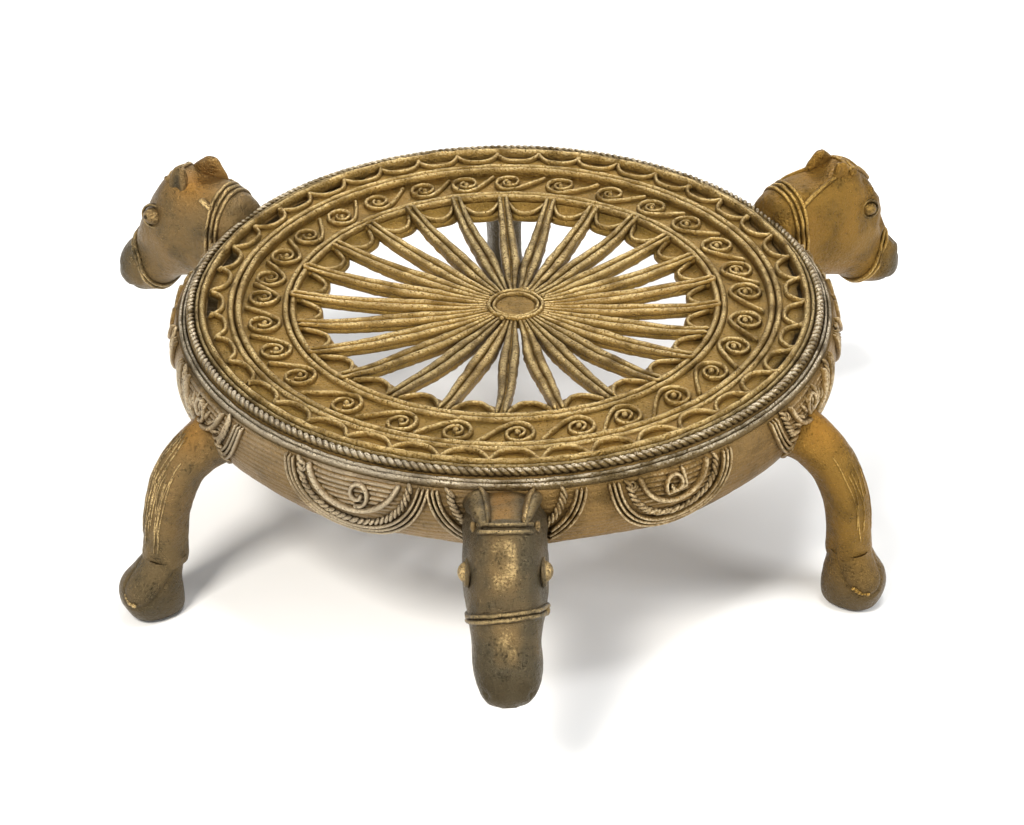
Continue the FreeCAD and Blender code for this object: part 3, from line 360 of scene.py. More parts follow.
# Worn brass: the most rubbed of all, pale gold, with a grey cast at the front left that is wear and painted
# sheen.
worn_sheen_brass = cast_brass("cast_brass_worn_sheen", "#75613F", "#F0E2C6", "#443722", "#7E6A45", grey_wear_and_sheen=0.75,
                        wear=0.9, depth=0.9)
rope_out = reach("rope_ring")
rope_stations = resample(polar((rim_out + rope_out) / 2 + 0.1 * MM * waver(turns, 6), 360 * turns,
                               seat("rope_ring") + ROPE_RADIUS), 0.42 * MM, closed=True)
rope_ring = Batch()
rope(rope_ring, rope_stations)
rope_ring.piece("rope_ring_twisted", ["rope_ring"], "wall", worn_sheen_brass)

bead_width = reach("bead_ring") - rope_out
bead_ring = ring_thread("bead_ring", rope_out, bead_width * 0.55, 8, share=0.95, patina_and_shade=0.25)
ring_thread("bead_ring", rope_out + bead_width * 0.45, bead_width * 0.52, 18, share=0.72, patina_and_shade=0.15,
            batch=bead_ring)
bead_ring.piece("bead_ring_laid", ["bead_ring"], "wall", worn_sheen_brass)

# Hub: a plate of brass with two threads laid round on it and a button in its middle, off the
# centre of the top, with a few blobs of metal where bubbles in the mould filled.
BLOB_AZIMUTHS = (168.0, 157.0, 144.0, 120.0, -129.0, -141.0, -27.0)
# Share of the radius and of the height of the button, from its edge to its middle.
BUTTON_PROFILE = ((1.0, 0.0), (0.97, 0.7), (0.85, 1.0), (0.6, 0.85), (0.3, 0.9), (0.02, 0.9))


def chance(seed):
    """A repeatable number between 0 and 1."""
    value = math.sin(seed * 127.1 + 311.7) * 43758.5453
    return value - math.floor(value)


def dome(batch, centre, first, second, third, rows=7, columns=12, level=0.9, patina_and_shade=0.0):
    """A rounded bead with three half axes."""
    points = []
    for row in range(1, rows):
        lift = math.pi * row / rows
        for column in range(columns):
            turn = 2 * math.pi * column / columns
            points.append(centre + first * (math.sin(lift) * math.cos(turn))
                          + second * (math.sin(lift) * math.sin(turn)) + third * math.cos(lift))
    faces = grid_faces(rows - 1, columns)
    top = len(points)
    points += [centre + third, centre - third]
    last = (rows - 2) * columns
    for column in range(columns):
        beside = (column + 1) % columns
        faces.append((top, beside, column))
        faces.append((top + 1, last + column, last + beside))
    batch.add(points, faces, level, patina_and_shade)


low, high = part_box("hub_plate")
hub = np.array([(low.x + high.x) / 2, (low.y + high.y) / 2, 0.0])
hub_edge = reach("hub_plate")
hub_turns = np.arange(150) / 150
for node, inner, seed in (("hub_inner_ring", reach("hub_button"), 9),
                          ("hub_ring", reach("hub_inner_ring"), 10)):
    hub_thread = Batch()
    width = reach(node) - inner
    path = hub + polar(inner + width / 2 + 0.15 * MM * waver(hub_turns, seed), 360 * hub_turns,
                       seat(node) + 0.35 * MM + 0.1 * MM * waver(hub_turns, seed + 2))
    sweep(hub_thread, path, UP, width / 2 * (1 + 0.12 * waver(hub_turns, seed + 4, 8)),
          (crest(node) - seat(node)) * (1.1 + 0.14 * waver(hub_turns, seed + 6, 8)), closed=True)
    for number, bearing in enumerate(BLOB_AZIMUTHS if node == "hub_ring" else ()):
        spot = hub + polar(hub_edge * (0.92 + 0.16 * chance(number + 3)), bearing,
                           seat(node) + 1.7 * MM)
        swell = (0.5 + 0.45 * chance(number + 7)) * MM
        dome(hub_thread, spot, np.array([swell, 0, 0]), np.array([0, swell, 0]), UP * swell, rows=5,
             columns=8)
    hub_thread.piece(node + "_laid", [node], "top", thread_brass)
button = Batch()
rings = []
for share, lift in BUTTON_PROFILE:
    level = seat("hub_button") + lift * (crest("hub_button") - seat("hub_button"))
    rings.append(hub + polar(share * (reach("hub_button") + 0.3 * MM), 360 * hub_turns,
                             level + 0.08 * MM * share * waver(hub_turns, 11)))
button.add(rings, grid_faces(len(rings), len(hub_turns)), 0.5)
button.piece("hub_button_pressed", ["hub_button"], "top", thread_brass)

# Spokes: each is a brass bar that sags between hub and web, with two fat threads along it. Most
# often they are one thread bent back on itself, and its bend lies over the web.
SPOKES = 25
SPOKE_FIRST = -4.0
SPOKE_WIDTH = 6.9 * MM
SPOKE_THICKNESS = 3.0 * MM
SPOKE_PLAN_SHARES = ((0.0, 0.31), (0.33, 0.97), (0.44, 1.0), (0.66, 0.86), (0.86, 0.70), (1.0, 0.64))
# How far the bars lie below the rim's crest at the hub, half way and at the web.
HUB_DROP, MIDDLE_DROP, WEB_DROP = np.array([9.2, 8.6, 4.4]) * MM
SPOKE_SIDES = 12
# Half width of the threads at the web, and how far their ends lie to the sides of the bar's middle.
RIDGE_TIP_HALF = 0.72 * MM
RIDGE_TIP_SPREAD = 1.25 * MM
stand = crest("rim_thread")
# Unrubbed brass of bars and floors: even and dull, with little gold.
floor_brass = cast_brass("cast_brass_floor", "#8C7038", "#C09E5A", "#5C4923", "#94753C", wear=0.45,
                         depth=0.6)


def ring_reach(azimuth, radius):
    """How far it is from the hub's middle, at this azimuth, to a circle about the origin."""
    ahead = float(hub @ polar(1.0, azimuth, 0.0))
    return math.sqrt(ahead ** 2 + radius ** 2 - float(hub @ hub)) - ahead


spokes = Batch()
ridges = Batch()
STATIONS = 46
share = np.linspace(0, 1, STATIONS)
plan_along, plan_across = np.array(SPOKE_PLAN_SHARES).T
spoke_tops = stand - (HUB_DROP * (1 - share) * (1 - 2 * share) + MIDDLE_DROP * 4 * share * (1 - share)
                      - WEB_DROP * share * (1 - 2 * share))
turn = np.linspace(0, 2 * math.pi, SPOKE_SIDES, endpoint=False)
across = np.sign(np.cos(turn)) * np.abs(np.cos(turn)) ** 0.7
lift = np.sign(np.sin(turn)) * np.abs(np.sin(turn)) ** 0.7
for index in range(SPOKES):
    azimuth = SPOKE_FIRST + 360 * index / SPOKES
    end = ring_reach(azimuth, web_edge + 0.6 * MM)
    along = polar(1.0, azimuth, 0.0)
    side = np.cross(UP, along)
    distance = hub_edge - 1.2 * MM + share * (end - hub_edge + 1.2 * MM)
    bow = 0.55 * MM * waver(share / 3 + index * 0.17, 12 + index, 2)
    width = SPOKE_WIDTH * np.interp(share, plan_along, plan_across)
    line = hub + along * distance[:, None] + side * bow[:, None]
    line[:, 2] = spoke_tops + 0.2 * MM * waver(share / 2 + index * 0.31, 40 + index, 3)
    ragged = 1 + 0.10 * waver(share * 2 + index * 0.37, 140 + index, 9)
    rings = (line[:, None] + side * ((width * ragged)[:, None] * 0.46 * across)[..., None]
             + UP * (SPOKE_THICKNESS / 2 * (lift - 1))[None, :, None])
    spokes.add(rings, grid_faces(STATIONS, SPOKE_SIDES), np.tile(np.clip(lift, 0, 1) * 0.4, STATIONS))
    tip = np.clip((share - 0.84) / 0.16, 0, 1)
    half = np.minimum(width * 0.235, 1.6 * MM) * (1 + 0.09 * waver(share, 90 + index * 2, 8))
    half = half * (1 - tip) + RIDGE_TIP_HALF * tip
    crown = half * 0.85 + 0.35 * MM
    offset = width * 0.245 * (1 - tip) + RIDGE_TIP_SPREAD * tip
    # Those towards the front and back are painted duller and darker, those at the sides brighter: painted
    # light for the way the light catches the spokes, with some tarnish at random.
    dull = (0.2 + 0.6 * chance(index + 31)) * math.cos(math.radians(azimuth)) ** 2 - 0.1
    rods = []
    for hand in (-1, 1):
        wobble = 0.18 * MM * waver(share, 60 + index + hand, 4) * (1 - tip)
        rod = line + side * (hand * offset + wobble)[:, None] - UP * 0.35 * MM
        rod[:, 2] += 0.6 * MM * tip
        rods.append(rod)
    if chance(index + 70) < 0.7:
        bend_turn = np.linspace(0, math.pi, 13)[1:-1, None]
        bend = ((rods[0][-1] + rods[1][-1]) / 2
                + RIDGE_TIP_SPREAD * (along * np.sin(bend_turn) - side * np.cos(bend_turn)))
        path = np.vstack([rods[0], bend, rods[1][::-1]])
        halves, crowns = (np.concatenate([size, np.full(len(bend), size[-1]), size[::-1]])
                          for size in (half, crown))
        sweep(ridges, path, UP, halves, crowns, sides=12, patina_and_shade=dull)
    else:
        for rod in rods:
            sweep(ridges, rod, UP, half, crown, sides=12, patina_and_shade=dull)
spokes.piece("spokes_laid", ["spokes"], "top", floor_brass)
ridges.piece("spoke_ridges_laid", ["spoke_ridge_threads"], "top", thread_brass)

# Web: between the ends of every two spokes a thread of brass hangs inwards in a scallop. It lies
# on the lip of a flat sheet, and its ends rise where they meet the inner ring.
scallops = Batch()
SCALLOP_CREST = 61.0 * MM
SCALLOP_WIRE = 1.7 * MM
tips = [hub + ring_reach(azimuth, web_edge) * polar(1.0, azimuth, 0.0)
        for azimuth in (SPOKE_FIRST + 360 * index / SPOKES for index in range(SPOKES))]
tip_azimuths = [math.degrees(math.atan2(tip[0], -tip[1])) for tip in tips]
web_top = seat("web_scallops")
t = np.linspace(-1, 1, 26)
for index, start in enumerate(tip_azimuths):
    gap = (tip_azimuths[(index + 1) % SPOKES] - start) % 360
    radius = SCALLOP_CREST + (web_edge - 0.6 * MM - SCALLOP_CREST) * np.abs(t) ** 2.4
    radius += 0.25 * MM * waver(t / 4, index, 3)
    path = polar(radius, start + gap * (0.5 + 0.42 * t), web_top + 0.9 * MM * np.abs(t) ** 4)
    sweep(scallops, path, UP, SCALLOP_WIRE / 2, 1.5 * MM)
scallops.piece("web_scallops_laid", ["web_scallops"], "top", thread_brass)

# Scrolls: each is one thread of brass that slants in from the outer ring, turns along the inner
# one and curls up, thinner towards its end, to a nub that is pressed in the middle.
SCROLL_AZIMUTHS = (2.5, 16, 27, 40.5, 54, 66, 78, 91, 101.5, 114, 127, 139, 151.5, 165, 178.6, 189.7,
                   200.8, 213.9, 225.5, 238, 249, 260, 269, 281, 293.3, 306, 322, 336.4, 349)
scroll_floor = seat("scroll_threads")
band_in = reach("inner_ring_outer_thread")
SCROLL_WIRE = 1.65 * MM
SCROLL_RISE = 1.6 * MM
scroll_half = (band_out - band_in - SCROLL_WIRE) / 2 - 0.4 * MM
# Radii of the curl's three half turns, and the length of its entry as a share of the spacing.
CURL_SHARES = (0.92, 0.66, 0.40)
ENTRY_SHARE = 0.66


def scroll_line(half, entry_reach):
    """One scroll about the middle of its curl, as across and outwards."""
    points = []
    depth = -half
    for number, radius in enumerate(half * share for share in CURL_SHARES):
        out = 1 if number % 2 == 0 else -1
        for step in range(13):
            turn = math.pi * step / 12
            points.append((out * radius * math.sin(turn), depth + out * radius * (1 - math.cos(turn))))
        depth += out * 2 * radius
    ahead = np.linspace(1, 0.06, 16)
    entry = np.stack([-entry_reach * ahead, half * (2 * ahead ** 1.6 - 1)], 1)
    middle = depth - out * half * CURL_SHARES[-1]
    return np.vstack([entry, points]), middle


scrolls = Batch()
nubs = Batch()
band_middle = (band_in + band_out) / 2
for index, azimuth in enumerate(SCROLL_AZIMUTHS):
    behind = (azimuth - SCROLL_AZIMUTHS[index - 1]) % 360
    size_share = 0.98 + 0.07 * (chance(index) - 0.5)
    line, middle = scroll_line(scroll_half * size_share,
                               ENTRY_SHARE * math.radians(behind) * band_middle)
    tilt = math.radians(6 * (chance(index + 50) - 0.5))
    turned = line @ np.array([[math.cos(tilt), math.sin(tilt)], [-math.sin(tilt), math.cos(tilt)]])
    turned[:, 1] = np.clip(turned[:, 1], -scroll_half * 1.04, scroll_half * 1.12)
    path = resample(polar(band_middle + turned[:, 1], azimuth + np.degrees(turned[:, 0] / band_middle),
                          scroll_floor), 0.45 * MM)
    along = np.arange(len(path)) / len(path)
    uneven = waver(along * 0.9, index, 6)
    finer = 1 - 0.30 * np.clip((along - 0.5) / 0.5, 0, 1)
    sweep(scrolls, path, UP, SCROLL_WIRE / 2 * finer * (1 + 0.12 * uneven),
          SCROLL_RISE * (1 + 0.10 * uneven) * (0.75 + 0.25 * finer))
    centre = polar(band_middle + middle, azimuth, scroll_floor + 0.6 * MM)
    dome(nubs, centre, np.array([1.0, 0, 0]) * MM, np.array([0, 1.0, 0]) * MM, UP * 1.2 * MM)
scrolls.piece("scroll_threads_laid", ["scroll_threads"], "top", thread_brass)
nubs.piece("scroll_nubs_pressed", ["scroll_nubs"], "top", thread_brass)

# Wave: a thread of brass that swings between the outer ring and the rim in 41 loops. Its feet
# climb on the rim, and a small bead is pressed on each.
WAVES = 41
WAVE_FIRST = 1.2
WAVE_WIRE = 1.7 * MM
WAVE_RISE = 1.75 * MM
wave_floor = seat("wave_threads")
wave_in = reach("outer_ring_outer_thread") + 0.9 * MM
# How far the feet of the thread stand beyond the rim's inner edge, by azimuth.
FEET = ((-180, 0.6), (-110, 0.4), (-75, -0.9), (-45, -1.3), (-20, 0.0), (0, 1.2), (20, 2.2), (60, 2.0),
        (95, 0.9), (140, 0.5), (180, 0.6))
feet_azimuths, feet_reaches = np.array(FEET).T
waves = Batch()
t = np.linspace(-1, 1, 34)
for index in range(WAVES):
    azimuth = WAVE_FIRST + 360 * index / WAVES + 0.8 * (chance(index + 5) - 0.5)
    depth = 1 + 0.14 * (chance(index + 9) - 0.5)
    foot_reach = rim_in + np.interp((azimuth + 180) % 360 - 180, feet_azimuths, feet_reaches) * MM
    radius = foot_reach - (foot_reach - wave_in) * (1 - np.abs(t) ** 2.6) * depth
    around = azimuth + 180 / WAVES * (1.04 * t + 0.06 * np.sin(t * 3))
    climb = np.clip((radius - rim_in + 0.8 * MM) / (2.2 * MM), 0, 1)
    path = polar(radius, around, wave_floor + (crest("rim_thread") - wave_floor - 1.5 * MM) * climb)
    uneven = waver(t / 3 + index * 0.21, index, 6)
    sweep(waves, path, UP, WAVE_WIRE / 2 * (1 + 0.15 * uneven), WAVE_RISE * (1 - 0.25 * climb))
    dome(waves, path[-3] + UP * 0.5 * MM, np.array([0.9, 0, 0]) * MM, np.array([0, 0.9, 0]) * MM,
         UP * 0.9 * MM, rows=5, columns=8)
waves.piece("wave_threads_laid", ["wave_threads"], "top", thread_brass)

# Floors that the threads lie on. The floor under the wave sinks into pockets beside the rim in some of the
# lobes, as molten metal didn't fill them, and their sides are painted near black, painted shade for the
# dark inside them. All are flat sheets of brass.
floor_turns = np.arange(820) / 820
# Width of the pocket in each lobe of the wave that has one.
POCKET_WIDTHS = {lobe: 3.8 * MM for lobe in (21, 22, 23, 24, 25, 26, 27, 29, 31)}
POCKET_WIDTHS.update({lobe: 1.7 * MM for lobe in (7, 8, 10, 11, 12, 13, 35, 36, 38, 40)})
around = 360 * floor_turns
lobe = np.floor((around - WAVE_FIRST) / 360 * WAVES + 0.5).astype(int) % WAVES
within = ((around - WAVE_FIRST) / 360 * WAVES + 0.5) % 1 - 0.5
edge = np.full(len(around), rim_in + 0.3 * MM)
for pocket_lobe, pocket_width in POCKET_WIDTHS.items():
    here = lobe == pocket_lobe
    edge[here] -= pocket_width * np.clip(1.25 - np.abs(within[here] / 0.42) ** 3, 0, 1)
wave_floor_ring = Batch()
inner = np.full(len(around), reach("outer_ring_outer_thread") - 0.5 * MM)
thickness = crest("wave_floor_ring") - seat("wave_floor_ring")
outer = rim_in + 0.4 * MM
rings = [polar(radius, around, wave_floor - drop) for radius, drop in (
    (inner, 0), ((inner + edge) / 2, -0.05 * MM), (edge, 0.15 * MM), (edge + 0.1 * MM, 0.75 * thickness),
    (outer, 0.78 * thickness), (outer, thickness), (inner, thickness))]
# The sides of the pockets are painted near black: painted shade.
deep_shade = np.repeat([0.0, 0.0, 0.3, 1.7, 1.7, 0.0, 0.0], len(around))
wave_floor_ring.add(rings, grid_faces(len(rings), len(around), closed_rows=True), 0.1, deep_shade)
wave_floor_ring.piece("wave_floor_pierced", ["wave_floor_ring"], "recess", floor_brass)
web = Batch()
lobe_share = np.zeros(len(around))
for index, start in enumerate(tip_azimuths):
    gap = (tip_azimuths[(index + 1) % SPOKES] - start) % 360
    along_gap = ((around - start) % 360) / gap
    lobe_share = np.where(along_gap < 1, np.abs(2 * along_gap - 1), lobe_share)
web_inner = reach("web_ring")
web_low = seat("web_ring")
opening = SCALLOP_CREST - 1.0 * MM
web_lip = opening + 3.6 * MM * lobe_share ** 3 + 0.3 * MM * waver(floor_turns, 33, 14)
ring_in = web_edge - 0.2 * MM
ring_seat = seat("inner_ring_thread")
rings = [polar(radius, around, height) for radius, height in (
    (web_lip, web_top - 0.1 * MM), (web_lip + 0.8 * MM, web_top), (ring_in, web_top),
    (ring_in + 0.4 * MM, ring_seat), (web_inner, ring_seat), (web_inner, web_low),
    (web_lip + 0.5 * MM, web_low), (web_lip, web_low + 0.5 * MM))]
web.add(rings, grid_faces(len(rings), len(around), closed_rows=True), 0.1)
web.piece("web_sheet", ["web_ring"], "recess", floor_brass)
for node in ("hub_plate", "scroll_floor_ring"):
    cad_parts[node].data.materials.clear()
    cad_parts[node].data.materials.append(floor_brass)

# Wall: a skirt of brass that hangs from the rim and bulges, built up of wax threads laid round one
# over another, with shallow arches in its lower edge between the half medallions.
WALL_HEIGHT = 22.0 * MM
WALL_THICKNESS = 2.8 * MM
BULGE_RADIUS = 21.0 * MM
ARCH_HEIGHT = 3.0 * MM
bead_seat = seat("bead_ring")
wall_foot = bead_seat - WALL_HEIGHT
wall_top_radius = reach("bead_ring") + 0.6 * MM
wall_foot_radius = wall_top_radius - 3.2 * MM
half_chord = np.array([wall_top_radius - wall_foot_radius, bead_seat - wall_foot]) / 2
chord = float(np.linalg.norm(half_chord))
bulge_centre = (np.array([wall_foot_radius, wall_foot]) + half_chord
                + np.array([-half_chord[1], half_chord[0]]) / chord
                * math.sqrt(BULGE_RADIUS ** 2 - chord ** 2))


def wall_radius(height):
    return bulge_centre[0] + np.sqrt(BULGE_RADIUS ** 2 - (height - bulge_centre[1]) ** 2)


def wall_normal(azimuth, height):
    """Outward direction of the bulging wall."""
    out = wall_radius(height) - bulge_centre[0]
    return unit(polar(out, azimuth, height - bulge_centre[1]))


def edge_lift(azimuth):
    """How far the lower edge is raised between the half medallions."""
    off = (np.asarray(azimuth) % 30) - 15
    across = wall_foot_radius * np.sin(np.radians(off))
    droop = 1.3 * MM * np.exp(-((np.asarray(azimuth) % 360 - 32) / 20) ** 4)
    return np.maximum(ARCH_HEIGHT - across ** 2 / (132 * MM), 0) - droop


# Half widths and depths in millimetres of the smooth arc, the toothed arc and the edge of each half
# medallion, by azimuth. The last row is for those over the heads and the legs.
MEDALLIONS = {-24.8: (16.0, 11.8, 19.6, 17.0, 24.4, 21.0), 27.0: (12.4, 10.6, 16.2, 15.4, 21.4, 20.4),
              -90.0: (14.0, 11.2, 17.8, 16.0, 23.4, 21.0), 90.0: (13.6, 11.0, 17.6, 15.8, 23.4, 20.8),
              -150.0: (14.4, 11.4, 18.2, 16.2, 23.8, 21.0), 150.0: (13.8, 11.2, 17.8, 15.8, 23.4, 20.6)}
ROOT_MEDALLION = (14.0, 11.0, 18.0, 15.8, 24.0, 20.6)
HEADS = {"front": 0.0, "right": 118.0, "left": -120.0}
LEGS = {"right": 60.0, "left": -60.0, "back": 180.0}
LAID_AZIMUTHS = tuple(MEDALLIONS) + tuple(LEGS.values())
LAID_PITCH = 1.55 * MM
WALL_COLUMNS = 900
OUTER_STEPS = 92
# Brass of the wall: browner, with the laid threads rubbed pale, the lines between them darker with painted
# shade, and grey patches at the front left that are wear and painted sheen.
wall_brass = cast_brass("cast_brass_wall", "#7D633A", "#EBD4A8", "#4C3B1C", "#876B40", grey_wear_and_sheen=0.6,
                        wear=0.8, depth=0.9)
wall = Batch()
wall_turns = np.arange(WALL_COLUMNS) / WALL_COLUMNS
wall_azimuths = 360 * np.arange(WALL_COLUMNS) / WALL_COLUMNS
foot = wall_foot + edge_lift(wall_azimuths)
rows = []
laid_crests = []
near = np.min([np.abs((wall_azimuths - middle + 180) % 360 - 180) for middle in LAID_AZIMUTHS], 0)
drift = 0.35 * waver(wall_turns, 70, 7) + 0.5 * waver(wall_turns * 3, 71, 4)
for step in range(OUTER_STEPS):
    share_down = step / (OUTER_STEPS - 1)
    height = bead_seat + (foot - bead_seat) * share_down
    inside = np.clip(1.5 - (near / 7.4) ** 4 - (share_down / 0.52) ** 4, 0, 1)
    lines = np.abs(np.sin(math.pi * (height / LAID_PITCH + drift))) ** 0.7
    uneven = 0.18 * waver(wall_turns + step * 0.004, 72, 8)
    proud = ((0.14 + 0.50 * inside) * lines + uneven) * MM
    laid_crests.append(np.clip(0.25 + 0.9 * (lines - 0.4) * (0.4 + 0.6 * inside), 0, 1))
    rows.append(polar(wall_radius(height) + proud - 0.25 * MM, wall_azimuths, height))
for share_up in (0.0, 0.25, 0.5, 0.75, 1.0):
    height = foot + (seat("wave_floor_ring") - 2.0 * MM - foot) * share_up
    inner = wall_radius(np.minimum(height, bead_seat)) - WALL_THICKNESS
    rows.append(polar(inner, wall_azimuths, height))
for radius, height in ((rim_in, seat("wave_floor_ring") - 2.3 * MM), (rim_in, seat("rim_thread")),
                       (rope_out, seat("rope_ring")), (rope_out, bead_seat)):
    rows.append(polar(radius, wall_azimuths, height))
crests = np.concatenate(laid_crests + [np.zeros(WALL_COLUMNS)] * (len(rows) - OUTER_STEPS))
wall.add(rows, grid_faces(len(rows), WALL_COLUMNS, closed_rows=True), crests)
wall.piece("wall_laid", ["wall"], "wall", wall_brass)

# Half medallions: threads of brass on the wall, a spiral hung from the bead inside a smooth arc, a
# toothed arc round it and three fine threads at its edge. Those behind a neck or a leg show only
# their sides.

def on_wall(azimuth, across, drop):
    """Points and outward directions on the wall, across and below the bead at an azimuth."""
    height = bead_seat - np.asarray(drop)
    around = azimuth + np.degrees(np.asarray(across) / wall_top_radius)
    normal = wall_normal(around, height)
    return polar(wall_radius(height), around, height), normal


def arc_line(half_width, depth):
    """A round arc hung from the bead, from one side to the other."""
    radius = (half_width ** 2 + depth ** 2) / (2 * depth)
    most = math.asin(min(half_width / radius, 1.0))
    if depth > radius:
        most = math.pi - most
    turn = np.linspace(-most, most, 80)
    return radius * np.sin(turn), depth - radius + radius * np.cos(turn)


def wall_thread(batch, azimuth, across, drop, half, rise):
    points, normals = on_wall(azimuth, across, drop)
    keep = drop > -0.2 * MM
    if keep.sum() > 3:
        sweep(batch, points[keep], normals[keep], half, rise, sides=10)


curls = Batch()
plain_arcs = Batch()
toothed_arcs = Batch()
edge_threads = Batch()
NECK_HALF = 11.6 * MM
CURL_RADIUS = 3.6 * MM
TOOTH_PITCH = 1.9 * MM
EDGE_THREADS = 3
LEAVES = 17
# How far a curl lies to the side of its medallion's middle.
CURL_SHIFTS = {-24.8: 2.2 * MM}
for azimuth in LAID_AZIMUTHS:
    plain_half, plain_depth = MEDALLIONS.get(azimuth, ROOT_MEDALLION)[:2]
    # The curl: a tail from below, up its right side and round inwards one turn and a half.
    turn = np.linspace(-0.35, 2.55 * math.pi, 80)
    shrink = CURL_RADIUS * (1 - 0.27 * np.maximum(turn, 0) / math.pi)
    across = shrink * np.sin(turn) + CURL_SHIFTS.get(azimuth, 0.0)
    drop = (plain_depth * 0.40 + 0.4) * MM + 1.12 * shrink * np.cos(turn)
    if azimuth > 0:
        lead = np.linspace(0, 1, 8)[:-1]
        across = np.concatenate([(2.6 + 0.9 * lead) * MM, -across[12:]])
        drop = np.concatenate([drop[12] * lead, drop[12:]])
    wall_thread(curls, azimuth, across, drop, 0.80 * MM, 1.7 * MM)
    across, drop = arc_line((plain_half - 1.1) * MM, (plain_depth - 1.1) * MM)
    wall_thread(plain_arcs, azimuth, across, drop, 1.0 * MM, 2.0 * MM)
    turn = np.linspace(0, 3.2 * math.pi, 40)
    small = (1.5 - 0.32 * turn / math.pi) * MM
    wall_thread(curls, azimuth, -(plain_half + 1.2) * MM + small * np.cos(turn),
                1.9 * MM + small * np.sin(turn), 0.45 * MM, 0.9 * MM)


def teeth(batch, azimuth, across, drop):
    """Slanted teeth along an arc, like the strokes of a twisted thread."""
    points, normals = on_wall(azimuth, across, drop)
    line = resample(points, TOOTH_PITCH)
    heading = unit(np.gradient(line, axis=0))
    for number in range(len(line)):
        nearest = int(np.argmin(np.linalg.norm(points - line[number], axis=1)))
        out = normals[nearest]
        side = np.cross(out, heading[number])
        slant = unit(heading[number] * 1.5 + side)
        size_share = 0.85 + 0.3 * chance(number + azimuth)
        dome(batch, line[number] + out * 0.3 * MM, slant * 2.1 * MM * size_share,
             np.cross(out, slant) * 0.68 * MM, out * 1.0 * MM, rows=6, columns=8)


for azimuth in tuple(MEDALLIONS) + tuple(HEADS.values()) + tuple(LEGS.values()):
    tooth_half, tooth_depth, edge_half, edge_depth = MEDALLIONS.get(azimuth, ROOT_MEDALLION)[2:]
    across, drop = arc_line((tooth_half - 1.3) * MM, (tooth_depth - 1.3) * MM)
    hidden = azimuth not in MEDALLIONS
    clear = np.abs(across) > NECK_HALF if hidden else np.abs(across) >= 0
    for hand in (-1, 1):
        part = clear & (drop > 0.6 * MM) & (across * hand > 0)
        if part.sum() > 4:
            teeth(toothed_arcs, azimuth, across[part], drop[part])
    for number in range(EDGE_THREADS):
        inset = 0.7 + number * 1.4
        across, drop = arc_line((edge_half - inset) * MM, (edge_depth - inset) * MM)
        clear = np.abs(across) > NECK_HALF if hidden else np.abs(across) >= 0
        for hand in (-1, 1) if hidden else (0,):
            part = clear & (across * hand >= 0)
            wall_thread(edge_threads, azimuth, across[part], drop[part], 0.60 * MM, 1.35 * MM)
# Long leaves fan out on the wall round each leg's root.
for azimuth in LEGS.values():
    for number in range(LEAVES):
        fan = math.radians(-104 + 208 * number / (LEAVES - 1))
        across = np.linspace(8.4, 14.2 + 1.5 * chance(number + azimuth), 9) * MM * math.sin(fan)
        drop = 13.6 * MM - np.linspace(7.6, 12.4 + 1.2 * chance(number), 9) * MM * math.cos(fan)
        drop = drop + np.linspace(0, 1, 9) ** 2 * 1.2 * MM * math.sin(abs(fan))
        points, normals = on_wall(azimuth, across, np.minimum(drop, bead_seat - wall_foot - 1.5 * MM))
        swell = np.sin(np.linspace(0.35, math.pi, 9))
        sweep(toothed_arcs, points, normals, 0.95 * MM * swell, 1.5 * MM * swell, sides=8, blunt=False)
curls.piece("medallion_curls_laid", ["medallion_curls"], "wall", wall_brass)
plain_arcs.piece("medallion_plain_arcs_laid", ["medallion_plain_arcs"], "wall", wall_brass)
toothed_arcs.piece("medallion_toothed_arcs", ["medallion_rope_arcs"], "wall", wall_brass)
edge_threads.piece("medallion_edge_threads_laid", ["medallion_edge_threads"], "wall", wall_brass)

# Legs and feet: each brass leg leaves the wall under the bead, bends over a knee and runs down to
# a round foot. The wax was pared to flat faces, and scored with long strokes on the outer one.

def smooth(rows, marks):
    """Values at fractional rows of a table, without corners."""
    rows = np.asarray(rows, float)
    marks = np.asarray(marks, float)
    index = np.clip(np.floor(marks).astype(int), 0, len(rows) - 2)
    part = (marks - index)[:, None]
    before = rows[np.maximum(index - 1, 0)]
    first = rows[index]
    second = rows[index + 1]
    after = rows[np.minimum(index + 2, len(rows) - 1)]
    return 0.5 * (2 * first + (second - before) * part
                  + (2 * before - 5 * first + 4 * second - after) * part ** 2
                  + (3 * first - before - 3 * second + after) * part ** 3)


def oval(turn, power):
    """A rounded square of half axes 1, as its two coordinates at each turn."""
    across = np.cos(turn)
    along = np.sin(turn)
    fill = (np.abs(across) ** power + np.abs(along) ** power) ** (-1 / power)
    return across * fill, along * fill


def skin_normals(grid, middles):
    """Directions over a grid of points, away from the middles of its rows."""
    normals = unit(np.cross(np.roll(grid, -1, 1) - np.roll(grid, 1, 1), np.gradient(grid, axis=0)))
    return normals * np.sign(np.einsum("ijk,ijk->", normals, grid - middles))


def dent(points, centre, radius, height):
    """A soft round bump, or a hollow where the height is negative."""
    return height * np.exp(-(np.linalg.norm(points - centre, axis=-1) / radius) ** 2)


def hand_made(grid, seed, broad=0.35 * MM, fine=0.12 * MM):
    """Unevenness of a surface that was shaped by hand."""
    flat = grid.reshape(-1, 3)
    uneven = broad * grain(flat, 9 * MM, seed) + fine * grain(flat, 2.4 * MM, seed + 9)
    return uneven.reshape(grid.shape[:-1])


